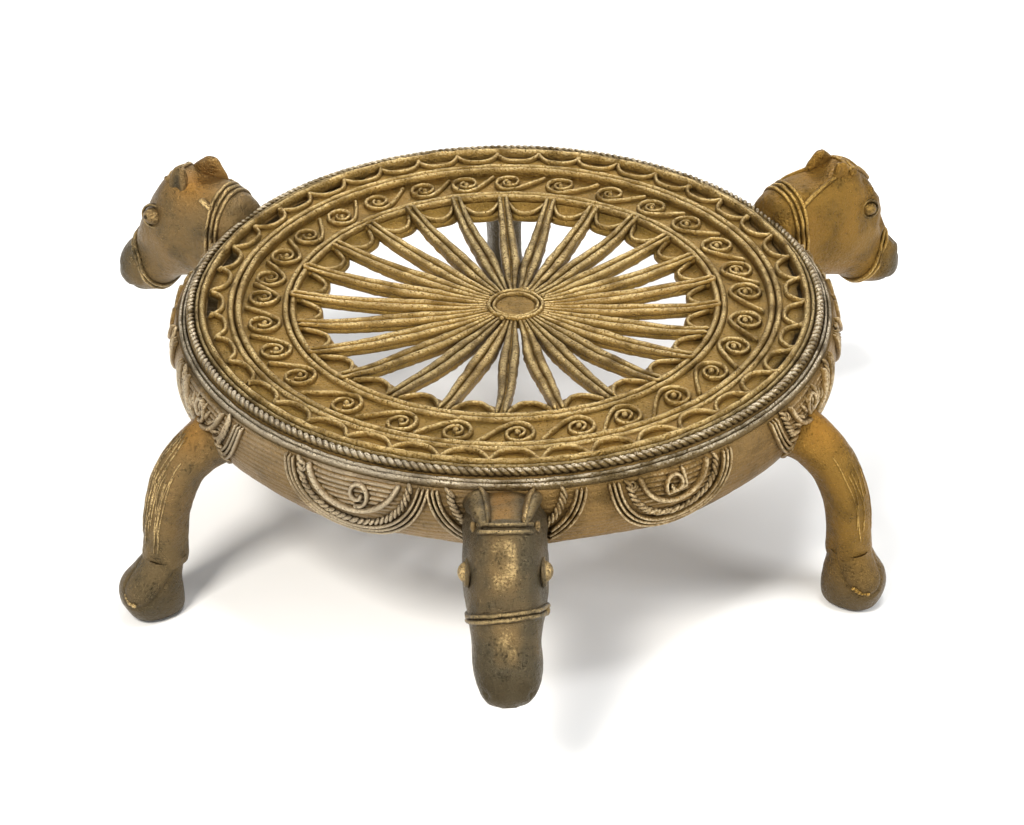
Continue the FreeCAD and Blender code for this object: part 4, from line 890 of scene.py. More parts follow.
def add_skin(batch, grid, crests=0.35, patina_and_shade=0.0):
    """A closed surface over a grid of points whose columns go round."""
    rows, columns = grid.shape[:2]
    faces = grid_faces(rows, columns)
    points = grid.reshape(-1, 3)
    crests = np.broadcast_to(crests, grid.shape[:2]).ravel()
    patina_and_shade = np.broadcast_to(patina_and_shade, grid.shape[:2]).ravel()
    for row in (0, rows - 1):
        points = np.vstack([points, grid[row].mean(0)])
        crests = np.append(crests, 0.35)
        patina_and_shade = np.append(patina_and_shade, patina_and_shade[row * columns])
        for column in range(columns):
            beside = (column + 1) % columns
            pair = (row * columns + column, row * columns + beside)
            faces.append((len(points) - 1,) + (pair if row == 0 else pair[::-1]))
    batch.add(points, faces, crests, patina_and_shade)


LEG_HALF_WIDTH = 6.5 * MM
LEG_REACH = 25.0 * MM
LEG_ROOT_HEIGHT = 59.5 * MM
FOOT_HEIGHT = 21.0 * MM
FOOT_HALF_WIDTH = 9.0 * MM
FOOT_HALF_LENGTH = 10.2 * MM
FOOT_OVERHANGS = {"right": 2.4 * MM, "left": 6.2 * MM, "back": 6.2 * MM}
# Shares of the reach and height of the spine, and of the half width for depth and width.
LEG_SHARES = ((0.02, 0.97, 1.46, 1.50), (0.12, 0.95, 1.26, 1.30), (0.30, 0.89, 1.18, 1.15),
              (0.53, 0.76, 1.11, 1.07), (0.69, 0.58, 1.06, 1.02), (0.79, 0.37, 1.02, 0.98),
              (0.83, 0.17, 1.0, 0.98), (0.85, 0.0, 1.02, 1.02), (0.86, -0.06, 1.0, 1.0))
FOOT_SHARES = ((0.0, 0.74, 0.62, 0.62), (0.03, 0.78, 0.76, 0.75), (0.12, 0.86, 0.91, 0.90),
               (0.34, 1.0, 1.0, 1.0), (0.58, 0.92, 0.95, 0.96), (0.80, 0.45, 0.76, 0.80),
               (0.93, 0.12, 0.66, 0.73), (1.0, 0.0, 0.64, 0.73))
LEG_COLUMNS = 72
# How far the pared faces of each leg are turned, and how many strokes are scored on it.
LEG_TWISTS = {"left": 0.55, "right": -0.55, "back": 0.3}
STROKES = {"left": 26, "right": 10, "back": 14}
# Brass of legs and heads: pitted and brown, tarnished towards the feet and muzzles. The right leg
# and head are cleaner and more golden.
limb_brass = cast_brass("cast_brass_limbs", "#766343", "#EACB8E", "#46402F", "#816842", pits=1.0,
                        wear=0.8, depth=0.7)
golden_brass = cast_brass("cast_brass_golden", "#7C5F2B", "#E2BB6C", "#503D1C", "#87652C", pits=1.0,
                          wear=0.7, depth=0.7)
leg_turn = np.linspace(0, 2 * math.pi, LEG_COLUMNS, endpoint=False)
for name, azimuth in LEGS.items():
    out = polar(1.0, azimuth, 0.0)
    side = polar(1.0, azimuth + 90, 0.0)
    seed = len(name)
    twist = LEG_TWISTS[name]
    # The back leg is painted dark all over: painted shade, as it stands in the dark under the table.
    underside_shade = 0.9 if name == "back" else 0.0
    leg_material = golden_brass if name == "right" else limb_brass
    leg = Batch()
    marks = np.linspace(0, len(LEG_SHARES) - 1, 90)
    table = smooth(LEG_SHARES, marks)
    spine = out * (wall_foot_radius + table[:, :1] * LEG_REACH) + UP * (
        FOOT_HEIGHT + table[:, 1:2] * (LEG_ROOT_HEIGHT - FOOT_HEIGHT))
    along = unit(np.gradient(spine, axis=0))
    depth = np.cross(along, side)
    across_share, along_share = oval(leg_turn + twist, 2.9)
    first = across_share * math.cos(twist) + along_share * math.sin(twist)
    second = along_share * math.cos(twist) - across_share * math.sin(twist)
    grid = (spine[:, None] + side * (first[None, :] * (LEG_HALF_WIDTH * table[:, 3:4]))[..., None]
            + depth[:, None] * (second[None, :] * (LEG_HALF_WIDTH * table[:, 2:3]))[..., None])
    normals = skin_normals(grid, spine[:, None])
    grid = grid + normals * hand_made(grid, seed)[..., None]
    fresh_spot = out * (wall_foot_radius + 0.36 * LEG_REACH) + UP * (LEG_ROOT_HEIGHT + 3 * MM)
    patina_and_shade = underside_shade + dent(grid, fresh_spot, 8 * MM, -0.7)
    patina_and_shade += 0.45 * np.clip(1 - grid[..., 2] / (30 * MM), 0, 1)
    add_skin(leg, grid, 0.35, patina_and_shade=patina_and_shade)
    # Strokes scored along the faces that look outwards: fine threads of metal between them.
    hand = 1 if name != "right" else -1
    for number in range(STROKES[name]):
        column = int(LEG_COLUMNS * ((0.25 + hand * (0.02 + 0.34 * (number / STROKES[name] - 0.45))) % 1))
        start = int(18 + 22 * chance(number + seed))
        stop = int(50 + 26 * chance(number * 3 + seed))
        rows_along = np.arange(start, stop)
        drift = 1.6 * waver(rows_along / 120 + number * 0.3, number + seed, 2)
        columns = (column + drift) % LEG_COLUMNS
        low_column = np.floor(columns).astype(int) % LEG_COLUMNS
        part = (columns - np.floor(columns))[:, None]
        line = (grid[rows_along, low_column] * (1 - part)
                + grid[rows_along, (low_column + 1) % LEG_COLUMNS] * part)
        sweep(leg, line, normals[rows_along, low_column], 0.32 * MM, 0.20 * MM, sides=8, patina_and_shade=underside_shade)
    leg.piece(name + "_leg_pared", [name + "_leg"], "limbs", leg_material)
    # Foot: a ball with a flat sole, and a groove where the pared face of the leg ends on it.
    foot = Batch()
    marks = np.linspace(0, len(FOOT_SHARES) - 1, 60)
    table = smooth(FOOT_SHARES, marks)
    ankle = out * (wall_foot_radius + 0.85 * LEG_REACH)
    middles = ankle + out * (table[:, 1:2] * FOOT_OVERHANGS[name]) + UP * (table[:, :1] * FOOT_HEIGHT)
    across_share, along_share = oval(leg_turn, 2.4)
    grid = (middles[:, None] + side * (across_share[None, :] * FOOT_HALF_WIDTH * table[:, 3:4])[..., None]
            + out * (along_share[None, :] * FOOT_HALF_LENGTH * table[:, 2:3])[..., None])
    facing = math.pi / 2 - hand * 0.75
    gap = (leg_turn - facing + math.pi) % (2 * math.pi) - math.pi
    groove = (8.2 + 5.4 * gap ** 2 * 1.6) * MM
    off = (grid[..., 2] - groove[None, :]) / (1 + 0.5 * np.abs(gap))[None, :]
    cut = -0.75 * MM * np.exp(-(off / (0.75 * MM)) ** 2) + 0.35 * MM / (1 + np.exp(-off / (0.5 * MM)))
    cut *= np.exp(-(gap / 1.15) ** 4)[None, :]
    level = np.clip(grid[..., 2] / (2.5 * MM), 0, 1)
    normals = skin_normals(grid, middles[:, None])
    grid = grid + normals * ((hand_made(grid, seed + 4) + cut) * level)[..., None]
    grid[..., 2] = np.maximum(grid[..., 2], 0.0)
    add_skin(foot, grid, 0.35, patina_and_shade=np.clip(1.1 - grid[..., 2] / (26 * MM), 0.2, 0.9))
    for number in range(7):
        spot = int((facing + 0.55 * (chance(number + seed) - 0.5) * 2) / (2 * math.pi) * LEG_COLUMNS)
        row = int(np.argmin(np.abs(grid[:, spot, 2] - (groove[spot] + 0.9 * MM))))
        swell = (0.5 + 0.7 * chance(number * 5 + seed)) * MM
        dome(foot, grid[row, spot], side * swell, UP * swell * 0.7, out * swell * 0.8, rows=5,
             columns=8)
    foot.piece(name + "_foot_modelled", [name + "_foot"], "limbs", leg_material)

# Heads: three horse heads of cast brass on thick necks, modelled by hand in wax. Their ears, domed
# eyes and the thin threads of the bridles were made apart and pressed on.

# Shares of the reach beyond the rope and of the height from chin to brow, for the line of mane
# and nose and for that of throat and chin, with the share of the half width between them.
HEAD_SHARES = (((-0.04, 0.70), (0.0, 0.37), 0.80), ((0.0, 0.86), (0.02, 0.33), 0.88),
               ((0.10, 0.93), (0.12, 0.30), 0.90), ((0.27, 0.985), (0.30, 0.26), 0.94),
               ((0.46, 0.985), (0.50, 0.21), 1.0), ((0.63, 0.817), (0.60, 0.135), 0.95),
               ((0.782, 0.615), (0.67, 0.055), 0.89), ((0.865, 0.43), (0.75, 0.01), 0.82),
               ((0.95, 0.30), (0.81, 0.0), 0.80), ((0.99, 0.18), (0.88, 0.012), 0.66),
               ((0.985, 0.10), (0.935, 0.045), 0.32))
HEAD_HALF_WIDTH = 12.4 * MM
HEAD_SQUARENESS = 2.4
HEAD_SIZES = {"front": (58.4 * MM, 79.0 * MM, 35.5 * MM), "back": (55.0 * MM, 92.0 * MM, 38.0 * MM)}
FRONT_WIDTH_SHARES = (0.99, 1.01, 1.0, 0.97, 0.93, 0.87, 0.84, 0.79, 0.69, 0.48, 0.17)
PLAIN = (0.0,) * len(HEAD_SHARES)
# How far the forehead of each head stands out beyond the shared shape, by section.
FOREHEADS = {"front": PLAIN,
             "left": (0.0, 0.0, 0.0, 0.01, 0.03, 0.02, -0.02, -0.01, 0.012, 0.005, 0.0),
             "right": (0.0, 0.0, 0.0, 0.03, 0.09, 0.10, 0.02, 0.0, 0.012, 0.002, 0.0)}
# How far the chin of each is raised.
CHINS = {"front": PLAIN,
         "left": (0.0, 0.0, 0.0, 0.0, 0.0, 0.0, 0.01, 0.02, 0.02, 0.02, 0.02),
         "right": (0.0, 0.0, 0.0, 0.0, 0.0, 0.02, 0.05, 0.07, 0.08, 0.08, 0.08)}
# Height, reach, half length, half thickness and offset to the side, in millimetres, of the
# sections of the ears from base to tip.
UPRIGHT_EAR = ((84.0, 129.3, 8.4, 3.0, 6.8), (87.5, 129.4, 7.7, 2.7, 6.2), (90.5, 129.5, 6.3, 2.4, 5.8),
               (92.8, 129.4, 4.7, 2.1, 5.6), (94.7, 129.2, 3.0, 1.8, 5.4), (95.8, 129.0, 1.7, 1.3, 5.4),
               (96.2, 129.0, 0.7, 0.6, 5.4))
LOW_EAR = ((86.0, 128.8, 2.8, 1.2, 5.6), (88.0, 129.2, 3.3, 1.5, 5.6), (90.0, 129.6, 3.4, 1.7, 5.6),
           (92.0, 130.0, 3.2, 1.8, 5.6), (94.0, 130.2, 2.7, 1.8, 5.5), (95.4, 130.1, 1.9, 1.5, 5.4),
           (96.0, 130.0, 0.8, 0.7, 5.4))
BACKWARD_EAR = ((81.0, 123.6, 9.0, 3.0, 7.2), (85.2, 123.6, 9.0, 2.8, 6.4), (88.6, 123.2, 8.2, 2.5, 6.0),
                (91.2, 122.7, 6.7, 2.2, 5.7), (93.6, 122.1, 4.7, 1.9, 5.5), (95.4, 121.6, 2.8, 1.4, 5.4),
                (96.1, 121.4, 1.2, 0.7, 5.4))
KNOB_EAR = ((83.0, 127.0, 1.6, 1.6, 7.2), (85.4, 127.2, 3.0, 2.3, 6.8), (88.0, 127.4, 3.6, 2.6, 6.4),
            (90.6, 127.5, 3.5, 2.6, 6.0), (93.0, 127.5, 2.9, 2.3, 5.6), (94.7, 127.4, 2.1, 1.7, 5.4),
            (95.4, 127.4, 0.9, 0.8, 5.4))
EAR_LEVELS = {("right", 1): UPRIGHT_EAR, ("right", -1): LOW_EAR, ("left", -1): BACKWARD_EAR,
              ("left", 1): KNOB_EAR}
# Sections and degrees between which the strap of each back head runs.
STRAPS = {"right": ((4.1, 1.25), (84, 44)), "left": ((1.75, 1.2), (48, 42))}
# Section and degrees of the eyes, and their half height, half length and bulge in millimetres.
EYE_PLACES = {"front": (3.05, 13), "back": (3.6, 27)}
EYE_SIZES = {"front": (2.7, 5.4, 2.9), "left": (3.6, 4.3, 3.6), "right": (2.7, 3.3, 2.2)}
# How far the front head leans to the side at its neck, its cheeks and its muzzle.
LEANS = {"front": (-0.8, -0.6, 0.0), "back": (0.0, 0.0, 0.0)}
# Dents and bumps on each side of a head, as section, degrees, radius and height in millimetres.
FACE_DENTS = [(2.7, -12, 9, 1.0), (4.9, 5, 5, -0.7), (7.6, 30, 1.3, -0.8)]
FACE_DENTS += [(6.6 + 0.17 * step, -38, 0.8, -0.28) for step in range(12)]
CHEEK_DENTS = [(5.3, 12, 5.5, -1.1)]
CHEEK_DENTS += [(5.55 + 0.02 * step, 70 - 7.5 * step, 1.5, -0.45) for step in range(14)]
BROW_LUMPS = [(3.5 + 0.24 * number, 38 + 26 * chance(number + 90), 1.2 + 1.2 * chance(number),
               (0.9 if number % 3 else -0.9) * (0.4 + chance(number + 7))) for number in range(16)]
DENTS = {"front": FACE_DENTS, "left": FACE_DENTS + CHEEK_DENTS,
         "right": FACE_DENTS + CHEEK_DENTS + BROW_LUMPS}
# The bridle: the section of the browband and the degrees at its two ends, the sections of the
# noseband and the collar above and below, and how far the front head's bands rise outwards.
BROW_SECTIONS = {"front": 2.95, "back": 3.0}
BROW_ENDS = {"front": (46, 134), "back": (60, 120)}
NOSE_SECTIONS = {"front": (4.98, 3.6), "back": (5.9, 4.6)}
COLLAR_SECTIONS = (1.05, 1.2)
BAND_RISES = {"front": math.radians(33), "back": 0.0}
BAND_HALF = 0.8 * MM
BAND_RISE = 0.95 * MM


class HeadShape:
    """The skin of one head, found by how far over and under it, in sections, and by turn."""

    def __init__(self, name, azimuth):
        self.kind = "front" if name == "front" else "back"
        self.reach, self.high, self.low = HEAD_SIZES[self.kind]
        self.out = polar(1.0, azimuth, 0.0)
        self.side = polar(1.0, azimuth + 90, 0.0)
        widths = FRONT_WIDTH_SHARES if name == "front" else [width for _, _, width in HEAD_SHARES]
        self.table = [(top[0] + more, top[1] + more / 3 + 0.5 * up, under[0], under[1] + up, width)
                      for (top, under, _), width, more, up in zip(HEAD_SHARES, widths, FOREHEADS[name],
                                                                  CHINS[name])]
        self.lean = np.interp(np.arange(len(HEAD_SHARES)), (0, 5, 8), LEANS[self.kind]) * MM

    def frames(self, over, under):
        """Middle, half depth and half width of slanting sections."""
        tops = smooth(self.table, np.atleast_1d(over) + 1.0)
        unders = smooth(self.table, np.atleast_1d(under) + 1.0)
        depth = self.high - self.low
        top = self.out * (rope_out + tops[:, :1] * self.reach) + UP * (self.low + tops[:, 1:2] * depth)
        bottom = (self.out * (rope_out + unders[:, 2:3] * self.reach)
                  + UP * (self.low + unders[:, 3:4] * depth))
        lean = np.interp(np.atleast_1d(over) + 1, np.arange(len(HEAD_SHARES)), self.lean)[:, None]
        return (top + bottom) / 2 + self.side * lean, (top - bottom) / 2, HEAD_HALF_WIDTH * tops[:, 4]

    def skin(self, over, under, turn):
        """Rows of points round the head, and its outward directions there."""
        power = HEAD_SQUARENESS
        middle, half, width = self.frames(over, under)
        across_share, along_share = oval(np.atleast_1d(turn), power)
        grid = (middle[:, None] + self.side * (across_share[None, :] * width[:, None])[..., None]
                + half[:, None] * along_share[None, :, None])
        length = np.linalg.norm(half, axis=1, keepdims=True)
        normal = unit(self.side * (np.sign(across_share) * np.abs(across_share) ** (power - 1)
                                   / width[:, None])[..., None]
                      + (half / length)[:, None] * (np.sign(along_share) * np.abs(along_share)
                                                    ** (power - 1) / length)[..., None])
        return grid, normal

    def spot(self, section, degrees):
        """One point of the skin and its outward direction."""
        grid, normal = self.skin(section, section, math.radians(degrees))
        return grid[0, 0], normal[0, 0]


def cut_line(grid, point, across):
    """Where a plane cuts each column of the modelled skin, starting from the head's top."""
    offs = (grid - point) @ across
    columns = grid.shape[1]
    top_column = columns // 4
    picks = np.zeros(columns)
    last_row = float(np.argmin(np.linalg.norm(grid[:, top_column] - point, axis=1)))
    for column in np.roll(np.arange(columns), -top_column):
        signs = np.nonzero(offs[:-1, column] * offs[1:, column] <= 0)[0]
        if len(signs):
            row = signs[np.argmin(np.abs(signs - last_row))]
            low, high = offs[row, column], offs[row + 1, column]
            last_row = row + low / (low - high) if low != high else float(row)
        picks[column] = last_row
    return picks


def at_rows(values, levels, columns):
    """Values of a grid at fractional rows of these columns."""
    low = np.clip(np.floor(levels).astype(int), 0, len(values) - 2)
    part = (levels - low)[:, None]
    return values[low, columns] * (1 - part) + values[low + 1, columns] * part


def band_threads(batch, grid, normals, point, across, count, first=None, last=None, seed=0,
                 pitch=1.55 * MM, patina_and_shade=0.0):
    """Threads laid side by side where planes cut the skin, all round it or part of the way."""
    columns = np.arange(grid.shape[1])
    degrees = 360 * columns / len(columns)
    keep = np.ones(len(columns), bool) if first is None else (degrees >= first) & (degrees <= last)
    for number in range(count):
        shift = (number - (count - 1) / 2) * pitch
        picks = cut_line(grid, point + across * shift, across)
        if first is None:
            picks = (np.roll(picks, 1) + 2 * picks + np.roll(picks, -1)) / 4
        line = at_rows(grid, picks[keep], columns[keep])
        out = unit(at_rows(normals, picks[keep], columns[keep]))
        share = np.arange(len(line)) / len(line)
        uneven = waver(share, seed + number, 9)
        line = line + across * (0.18 * MM * uneven)[:, None]
        sweep(batch, line, out, BAND_HALF * (1 + 0.15 * uneven), BAND_RISE * (1 + 0.15 * uneven),
              closed=first is None, sides=10, patina_and_shade=patina_and_shade)


HEAD_COLUMNS = 88
head_turn = np.linspace(0, 2 * math.pi, HEAD_COLUMNS, endpoint=False)
for name, azimuth in HEADS.items():
    head = HeadShape(name, azimuth)
    front = head.kind == "front"
    head_material = golden_brass if name == "right" else limb_brass
    eye_section, eye_degrees = EYE_PLACES[head.kind]
    blank = Batch()
    marks = np.linspace(-1, len(HEAD_SHARES) - 2, 120)
    grid, _ = head.skin(marks, marks, head_turn)
    normals = skin_normals(grid, grid.mean(1, keepdims=True))
    change = hand_made(grid, 30 + len(name), 0.45 * MM, 0.14 * MM)
    half = head.frames(eye_section, eye_section)[1][0]
    forward = unit(np.cross(half, head.side))
    forward *= np.sign(forward @ head.out)
    eye_spots = [head.spot(eye_section, degrees) for degrees in (180 - eye_degrees, eye_degrees)]
    for spot, _ in eye_spots:
        change += dent(grid, spot, 5.6 * MM, -0.9 * MM)
    for section, right_degrees, radius, height in DENTS[name]:
        for degrees in (180 - right_degrees, right_degrees):
            change += dent(grid, head.spot(section, degrees)[0], radius * MM, height * MM)
    if not front:
        # The skin dips between the ears.
        change += dent(grid, (head.out * 122.5 + UP * 91.5) * MM, 6.5 * MM, -2.6 * MM)
    grid = grid + normals * change[..., None]
    muzzle = np.clip((marks - 5.4) / 1.8, 0, 1)[:, None]
    mottle = grain(grid.reshape(-1, 3), 4.5 * MM, 77).reshape(grid.shape[:2])
    ridge = np.exp(-((np.degrees(head_turn) - 92) / 21) ** 4)[None, :]
    if front:
        # Gold shows where the brow and the nose's ridge are rubbed, and between the ears.
        gold_spots = np.exp(-((marks - 3.75) / 0.72) ** 4) + np.exp(-((marks - 5.85) / 0.75) ** 4)
        gold_spots = np.clip(gold_spots[:, None] * ridge * (1 + 0.5 * mottle), 0, 1)
        between_ears = (marks < 2.6)[:, None] * ridge
        dull = 0.85 + 0.5 * muzzle + 0.3 * mottle - 0.75 * gold_spots - 1.2 * between_ears
        add_skin(blank, grid, np.clip(0.22 + 0.55 * gold_spots + 0.15 * mottle, 0, 1), patina_and_shade=dull)
    else:
        dull = (1.05 if name == "right" else 0.85) * muzzle + 0.25 * mottle * (muzzle + 0.3)
        if name == "left":
            fresh_spot = (head.out * 122.5 + head.side * 3.5 + UP * 89.5) * MM
            dull = dull + dent(grid, fresh_spot, 7 * MM, -0.9)
        else:
            dull = dull + dent(grid, head.spot(4.5, 50)[0], 8 * MM, 0.6)
        add_skin(blank, grid, 0.38 + 0.1 * ridge + 0.12 * mottle, patina_and_shade=dull)
    blank.piece(name + "_head_modelled", [name + "_head"], "limbs", head_material)

    eyes = Batch()
    half_high, half_long, bulge = np.array(EYE_SIZES[name]) * MM
    for spot, outward in eye_spots:
        short_axis = unit(np.cross(outward, forward)) * half_high
        long_axis = unit(np.cross(short_axis, outward)) * half_long
        spot = spot - outward * 0.6 * MM
        dome(eyes, spot, long_axis * 0.84, short_axis * 0.84, outward * bulge, rows=12, columns=24,
             level=0.95 if front else 0.7, patina_and_shade=0.3 if name == "right" else 0.05)
        if name == "left":
            pupil = spot + outward * 3.3 * MM + forward * 0.7 * MM
            dome(eyes, pupil, long_axis * 0.22, short_axis * 0.22, outward * 0.5 * MM, rows=6,
                 columns=10, level=0.0, patina_and_shade=1.6)
        # The lid round each eye is painted dark: painted shade for the shadow round the bulging eye.
        turn = np.linspace(0, 2 * math.pi, 40, endpoint=False)
        lid = (spot + long_axis * 1.04 * np.cos(turn)[:, None] + short_axis * 1.12 * np.sin(turn)[:, None]
               - outward * 0.3 * MM)
        sweep(eyes, lid, outward, 0.55 * MM, 1.1 * MM, closed=True, sides=8, patina_and_shade=0.7)
    eyes.piece(name + "_eyes_modelled", [name + "_eyes"], "limbs", head_material)

    # The bridle. On the front head its bands lie nearly along the line of sight to the nose's
    # ridge, on the other two square to the head.
    brow = Batch()
    tilt = head.out * math.cos(BAND_RISES[head.kind]) + UP * math.sin(BAND_RISES[head.kind])
    brow_top = head.spot(BROW_SECTIONS[head.kind], 90)[0]
    square = unit(np.cross(head.side, tilt if front else head.frames(3.0, 3.4)[1][0]))
    first, last = BROW_ENDS[head.kind]
    band_threads(brow, grid, normals, brow_top, square, 2, first, last, seed=11,
                 pitch=(1.9 if front else 1.4) * MM, patina_and_shade=0.7 if front else 0.0)
    picks = cut_line(grid, brow_top, square)
    for degrees in (first, last):
        column = np.array([int(round(degrees / 360 * HEAD_COLUMNS))])
        spot = at_rows(grid, picks[column], column)[0]
        outward = unit(at_rows(normals, picks[column], column))[0]
        dome(brow, spot, np.cross(square, outward) * 1.3 * MM, square * 1.9 * MM, outward * 1.4 * MM,
             rows=6, columns=12, level=0.6)
    if not front:
        # A strap runs from the brow back under each ear to the collar.
        strap_rows, strap_turns = STRAPS[name]
        for hand in (-1, 1):
            levels = np.interp(np.linspace(*strap_rows, 40), marks, np.arange(len(marks)))
            degrees = np.linspace(*strap_turns, 40)
            degrees = degrees if hand > 0 else 180 - degrees
            columns = np.round(degrees / 360 * HEAD_COLUMNS * 4).astype(int)
            low_column = (columns // 4) % HEAD_COLUMNS
            part = ((columns % 4) / 4)[:, None]
            line = (at_rows(grid, levels, low_column) * (1 - part)
                    + at_rows(grid, levels, (low_column + 1) % HEAD_COLUMNS) * part)
            upward = at_rows(normals, levels[:30], low_column[:30])
            sweep(brow, smooth(line, np.linspace(0, 39, 30)), upward,
                  (0.9 if name == "right" else 1.3) * MM, 1.2 * MM, sides=10)
    brow.piece(name + "_browband_laid", [name + "_browband"], "limbs", head_material)

    nose = Batch()
    over, under = NOSE_SECTIONS[head.kind]
    nose_top = head.spot(over, 90)[0] if front else head.skin(over, under, math.pi / 2)[0][0, 0]
    square = unit(np.cross(head.side, tilt if front else head.frames(over, under)[1][0]))
    square = unit(square + head.side * (0.10 if front else 0.0))
    band_threads(nose, grid, normals, nose_top, square, 2, seed=21, patina_and_shade=0.8 if front else 0.1)
    picks = cut_line(grid, nose_top, square)
    column = np.array([HEAD_COLUMNS // 2 if name == "left" else 0])
    spot = at_rows(grid, picks[column], column)[0]
    outward = unit(at_rows(normals, picks[column], column))[0]
    dome(nose, spot, outward * 1.3 * MM, square * 1.9 * MM, np.cross(square, outward) * 1.6 * MM, rows=6,
         columns=12, level=0.6)
    nose.piece(name + "_noseband_laid", [name + "_noseband"], "limbs", head_material)
    if not front:
        collar = Batch()
        square = unit(np.cross(head.side, head.frames(*COLLAR_SECTIONS)[1][0]))
        collar_top = head.skin(*COLLAR_SECTIONS, math.pi / 2)[0][0, 0]
        band_threads(collar, grid, normals, collar_top, square, 3, seed=31, pitch=1.9 * MM)
        collar.piece(name + "_collar_laid", [name + "_collar"], "limbs", head_material)

    # Ears. Those of the front head are ridges that lie back on its neck and spread apart, those
    # of the other two are short flaps that stand on the brow.
    ears = Batch()
    if front:
        for hand in (-1, 1):
            t = np.linspace(0, 1, 30)
            levels = np.interp(2.7 - 3.25 * t, marks, np.arange(len(marks)))
            degrees = 63 - 22 * t
            degrees = degrees if hand > 0 else 180 - degrees
            column = np.floor(degrees / 360 * HEAD_COLUMNS).astype(int)
            part = (degrees / 360 * HEAD_COLUMNS - column)[:, None]
            line = at_rows(grid, levels, column) * (1 - part) + at_rows(grid, levels, column + 1) * part
            outward = unit(at_rows(normals, levels, column))
            swell = np.interp(t, (0, 0.15, 0.5, 0.85, 1), (0.35, 0.7, 1.0, 0.85, 0.4))
            wide = (4.1 if hand < 0 else 2.5) * MM
            sweep(ears, line, outward, wide * swell * (1 + 0.08 * waver(t, 3)), 2.9 * MM * swell, sides=14,
                  blunt=False, patina_and_shade=0.85)
            inner = unit(np.cross(np.gradient(line, axis=0), outward)) * hand
            inner *= np.sign((inner @ head.side)[:1] * -hand)[:, None]
            lip = line + inner * (wide * 0.8 * swell)[:, None] + outward * 0.6 * MM
            sweep(ears, lip, outward, 0.75 * MM, 2.3 * MM * swell, sides=10,
                  patina_and_shade=0.5 if hand < 0 else -0.1)
    else:
        for hand in (-1, 1):
            table = smooth(EAR_LEVELS[name, hand], np.linspace(0, 6, 40)) * MM
            turn = np.linspace(0, 2 * math.pi, 40, endpoint=False)
            centres = head.out * table[:, 1:2] + head.side * (hand * table[:, 4:5]) + UP * table[:, :1]
            across_share, along_share = oval(turn, 2.1)
            cup = 0.45 * np.exp(-(along_share / 0.5) ** 2) * (across_share * hand > 0)
            ear = (centres[:, None] + head.side * (((across_share - cup * hand)[None, :])
                                                   * table[:, 3:4])[..., None]
                   + head.out * (along_share[None, :] * table[:, 2:3])[..., None])
            outward = skin_normals(ear, centres[:, None])
            ear = ear + outward * hand_made(ear, 50 + hand, 0.35 * MM, 0.16 * MM)[..., None]
            # The cup of the left head's near ear is painted near black: painted shade in its hollow.
            cupped = cup[None, :] * np.linspace(1, 0.2, len(ear))[:, None]
            fresh = -0.45 if (name, hand) == ("left", -1) else -0.05
            add_skin(ears, ear, np.linspace(0.3, 0.7, len(ear))[:, None],
                     patina_and_shade=fresh + (4.2 * cupped if (name, hand) == ("left", 1) else 0.0))
    ears.piece(name + "_ears_modelled", [name + "_ears"], "limbs", head_material)

# Floor: a wide sheet of pale paper lies under the table. It is matt and very faintly clouded, as
# paper is, and takes a soft shadow.
PAPER_CLOUD = 0.4
bpy.ops.mesh.primitive_plane_add(size=8.0)
ground = bpy.context.object
ground.name = "ground"
pale = bpy.data.materials.new("pale_paper")
pale.use_nodes = True
tree = pale.node_tree
place = add_node(tree, "TexCoord", output="Object")
clouds = add_node(tree, "TexNoise", {"Vector": place, "Scale": 1 / PAPER_CLOUD, "Detail": 4.0,
                                     "Roughness": 0.55})
tint = add_node(tree, "Mix", {0: clouds, 6: linear("#F4F3F1"), 7: linear("#FAFAF9")}, 2, data_type="RGBA")
tree.links.new(tint, tree.nodes["Principled BSDF"].inputs["Base Color"])
tree.nodes["Principled BSDF"].inputs["Roughness"].default_value = 0.9
ground.data.materials.append(pale)

# Light: a pale studio with four soft boxes, the brightest at the front left, one at each of the
# right, the back and above.
world = bpy.data.worlds.new("studio")
bpy.context.scene.world = world
world.use_nodes = True
world.node_tree.nodes["Background"].inputs[0].default_value = linear("#E9ECEF")
world.node_tree.nodes["Background"].inputs[1].default_value = 0.60


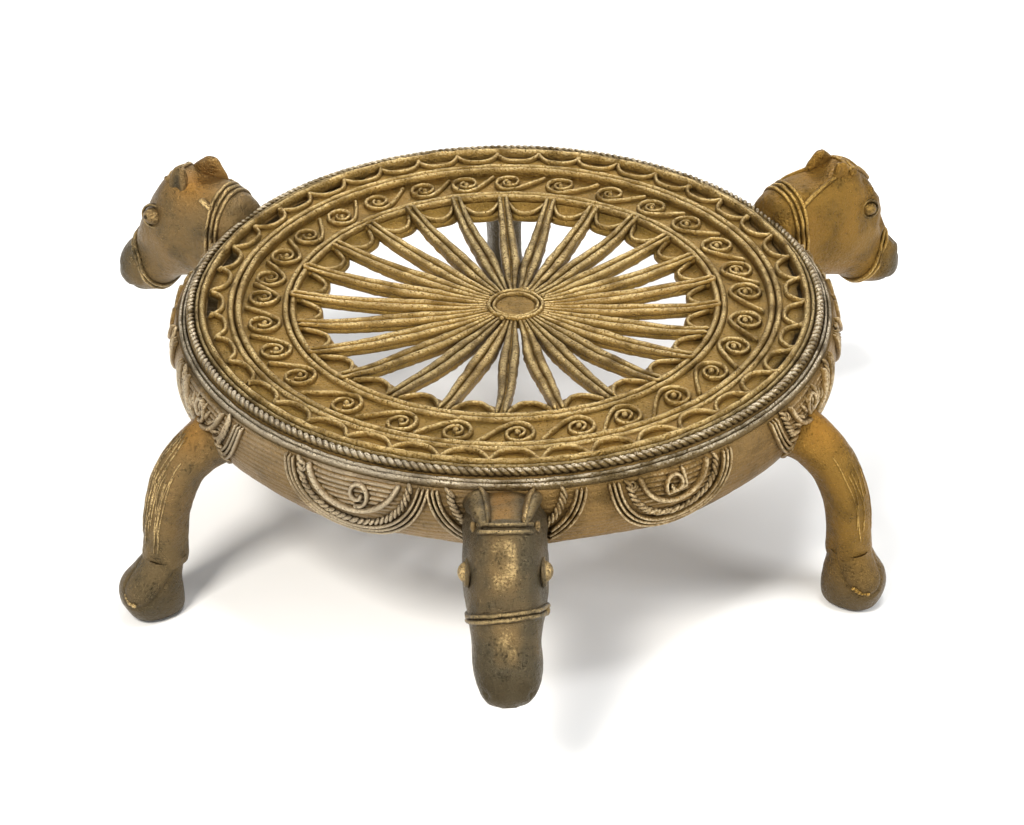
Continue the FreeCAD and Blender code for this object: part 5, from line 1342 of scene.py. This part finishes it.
def soft_box(name, place, aim, width, power, colour="#FFFFFF"):
    """A square studio light that faces a point."""
    data = bpy.data.lights.new(name, "AREA")
    data.shape = "SQUARE"
    data.size = width
    data.energy = power
    data.color = linear(colour)[:3]
    light = bpy.data.objects.new(name, data)
    light.location = place
    light.rotation_euler = (Vector(aim) - Vector(place)).to_track_quat("-Z", "Y").to_euler()
    bpy.context.scene.collection.objects.link(light)


soft_box("key", (-0.42, -0.62, 0.95), (0, 0, 0.05), 0.30, 12.0, "#FFFAF2")
soft_box("fill", (0.95, -0.35, 0.60), (0, 0, 0.05), 0.45, 6.5)
soft_box("back", (0.10, 1.10, 0.80), (0, 0, 0.05), 0.50, 8.5)
soft_box("top", (0.16, -0.20, 1.20), (0, 0, 0.05), 0.20, 4.2)

# Camera: it looks down on the table from the front, at the photograph's angle and distance. The
# aim is kept in pixels of a picture 1024 wide.
FOCAL_PIXELS = 2306.0
IMAGE_WIDTH = 1024.0
CAMERA_DISTANCE = 0.760
CAMERA_RISE = math.radians(30.55)
CAMERA_ROLL = math.radians(0.6)
AIM_LEFT_PIXELS = 7.3
AIM_ABOVE_PIXELS = 127.0
camera_data = bpy.data.cameras.new("camera")
camera = bpy.data.objects.new("camera", camera_data)
bpy.context.scene.collection.objects.link(camera)
bpy.context.scene.camera = camera
back = Vector((0, -math.cos(CAMERA_RISE), math.sin(CAMERA_RISE)))
right = Vector((1, 0, 0))
above = back.cross(right)
rolled_right = right * math.cos(CAMERA_ROLL) - above * math.sin(CAMERA_ROLL)
rolled_above = right * math.sin(CAMERA_ROLL) + above * math.cos(CAMERA_ROLL)
turned = Matrix((rolled_right, rolled_above, back)).transposed().to_4x4()
camera.matrix_world = Matrix.Translation(Vector((0, 0, stand)) + back * CAMERA_DISTANCE) @ turned
camera_data.sensor_width = 36.0
camera_data.lens = FOCAL_PIXELS / IMAGE_WIDTH * camera_data.sensor_width
camera_data.shift_x = AIM_LEFT_PIXELS / IMAGE_WIDTH
camera_data.shift_y = -AIM_ABOVE_PIXELS / IMAGE_WIDTH
camera_data.clip_start = 0.01
camera_data.clip_end = 20.0

bpy.context.scene.view_settings.view_transform = "Standard"
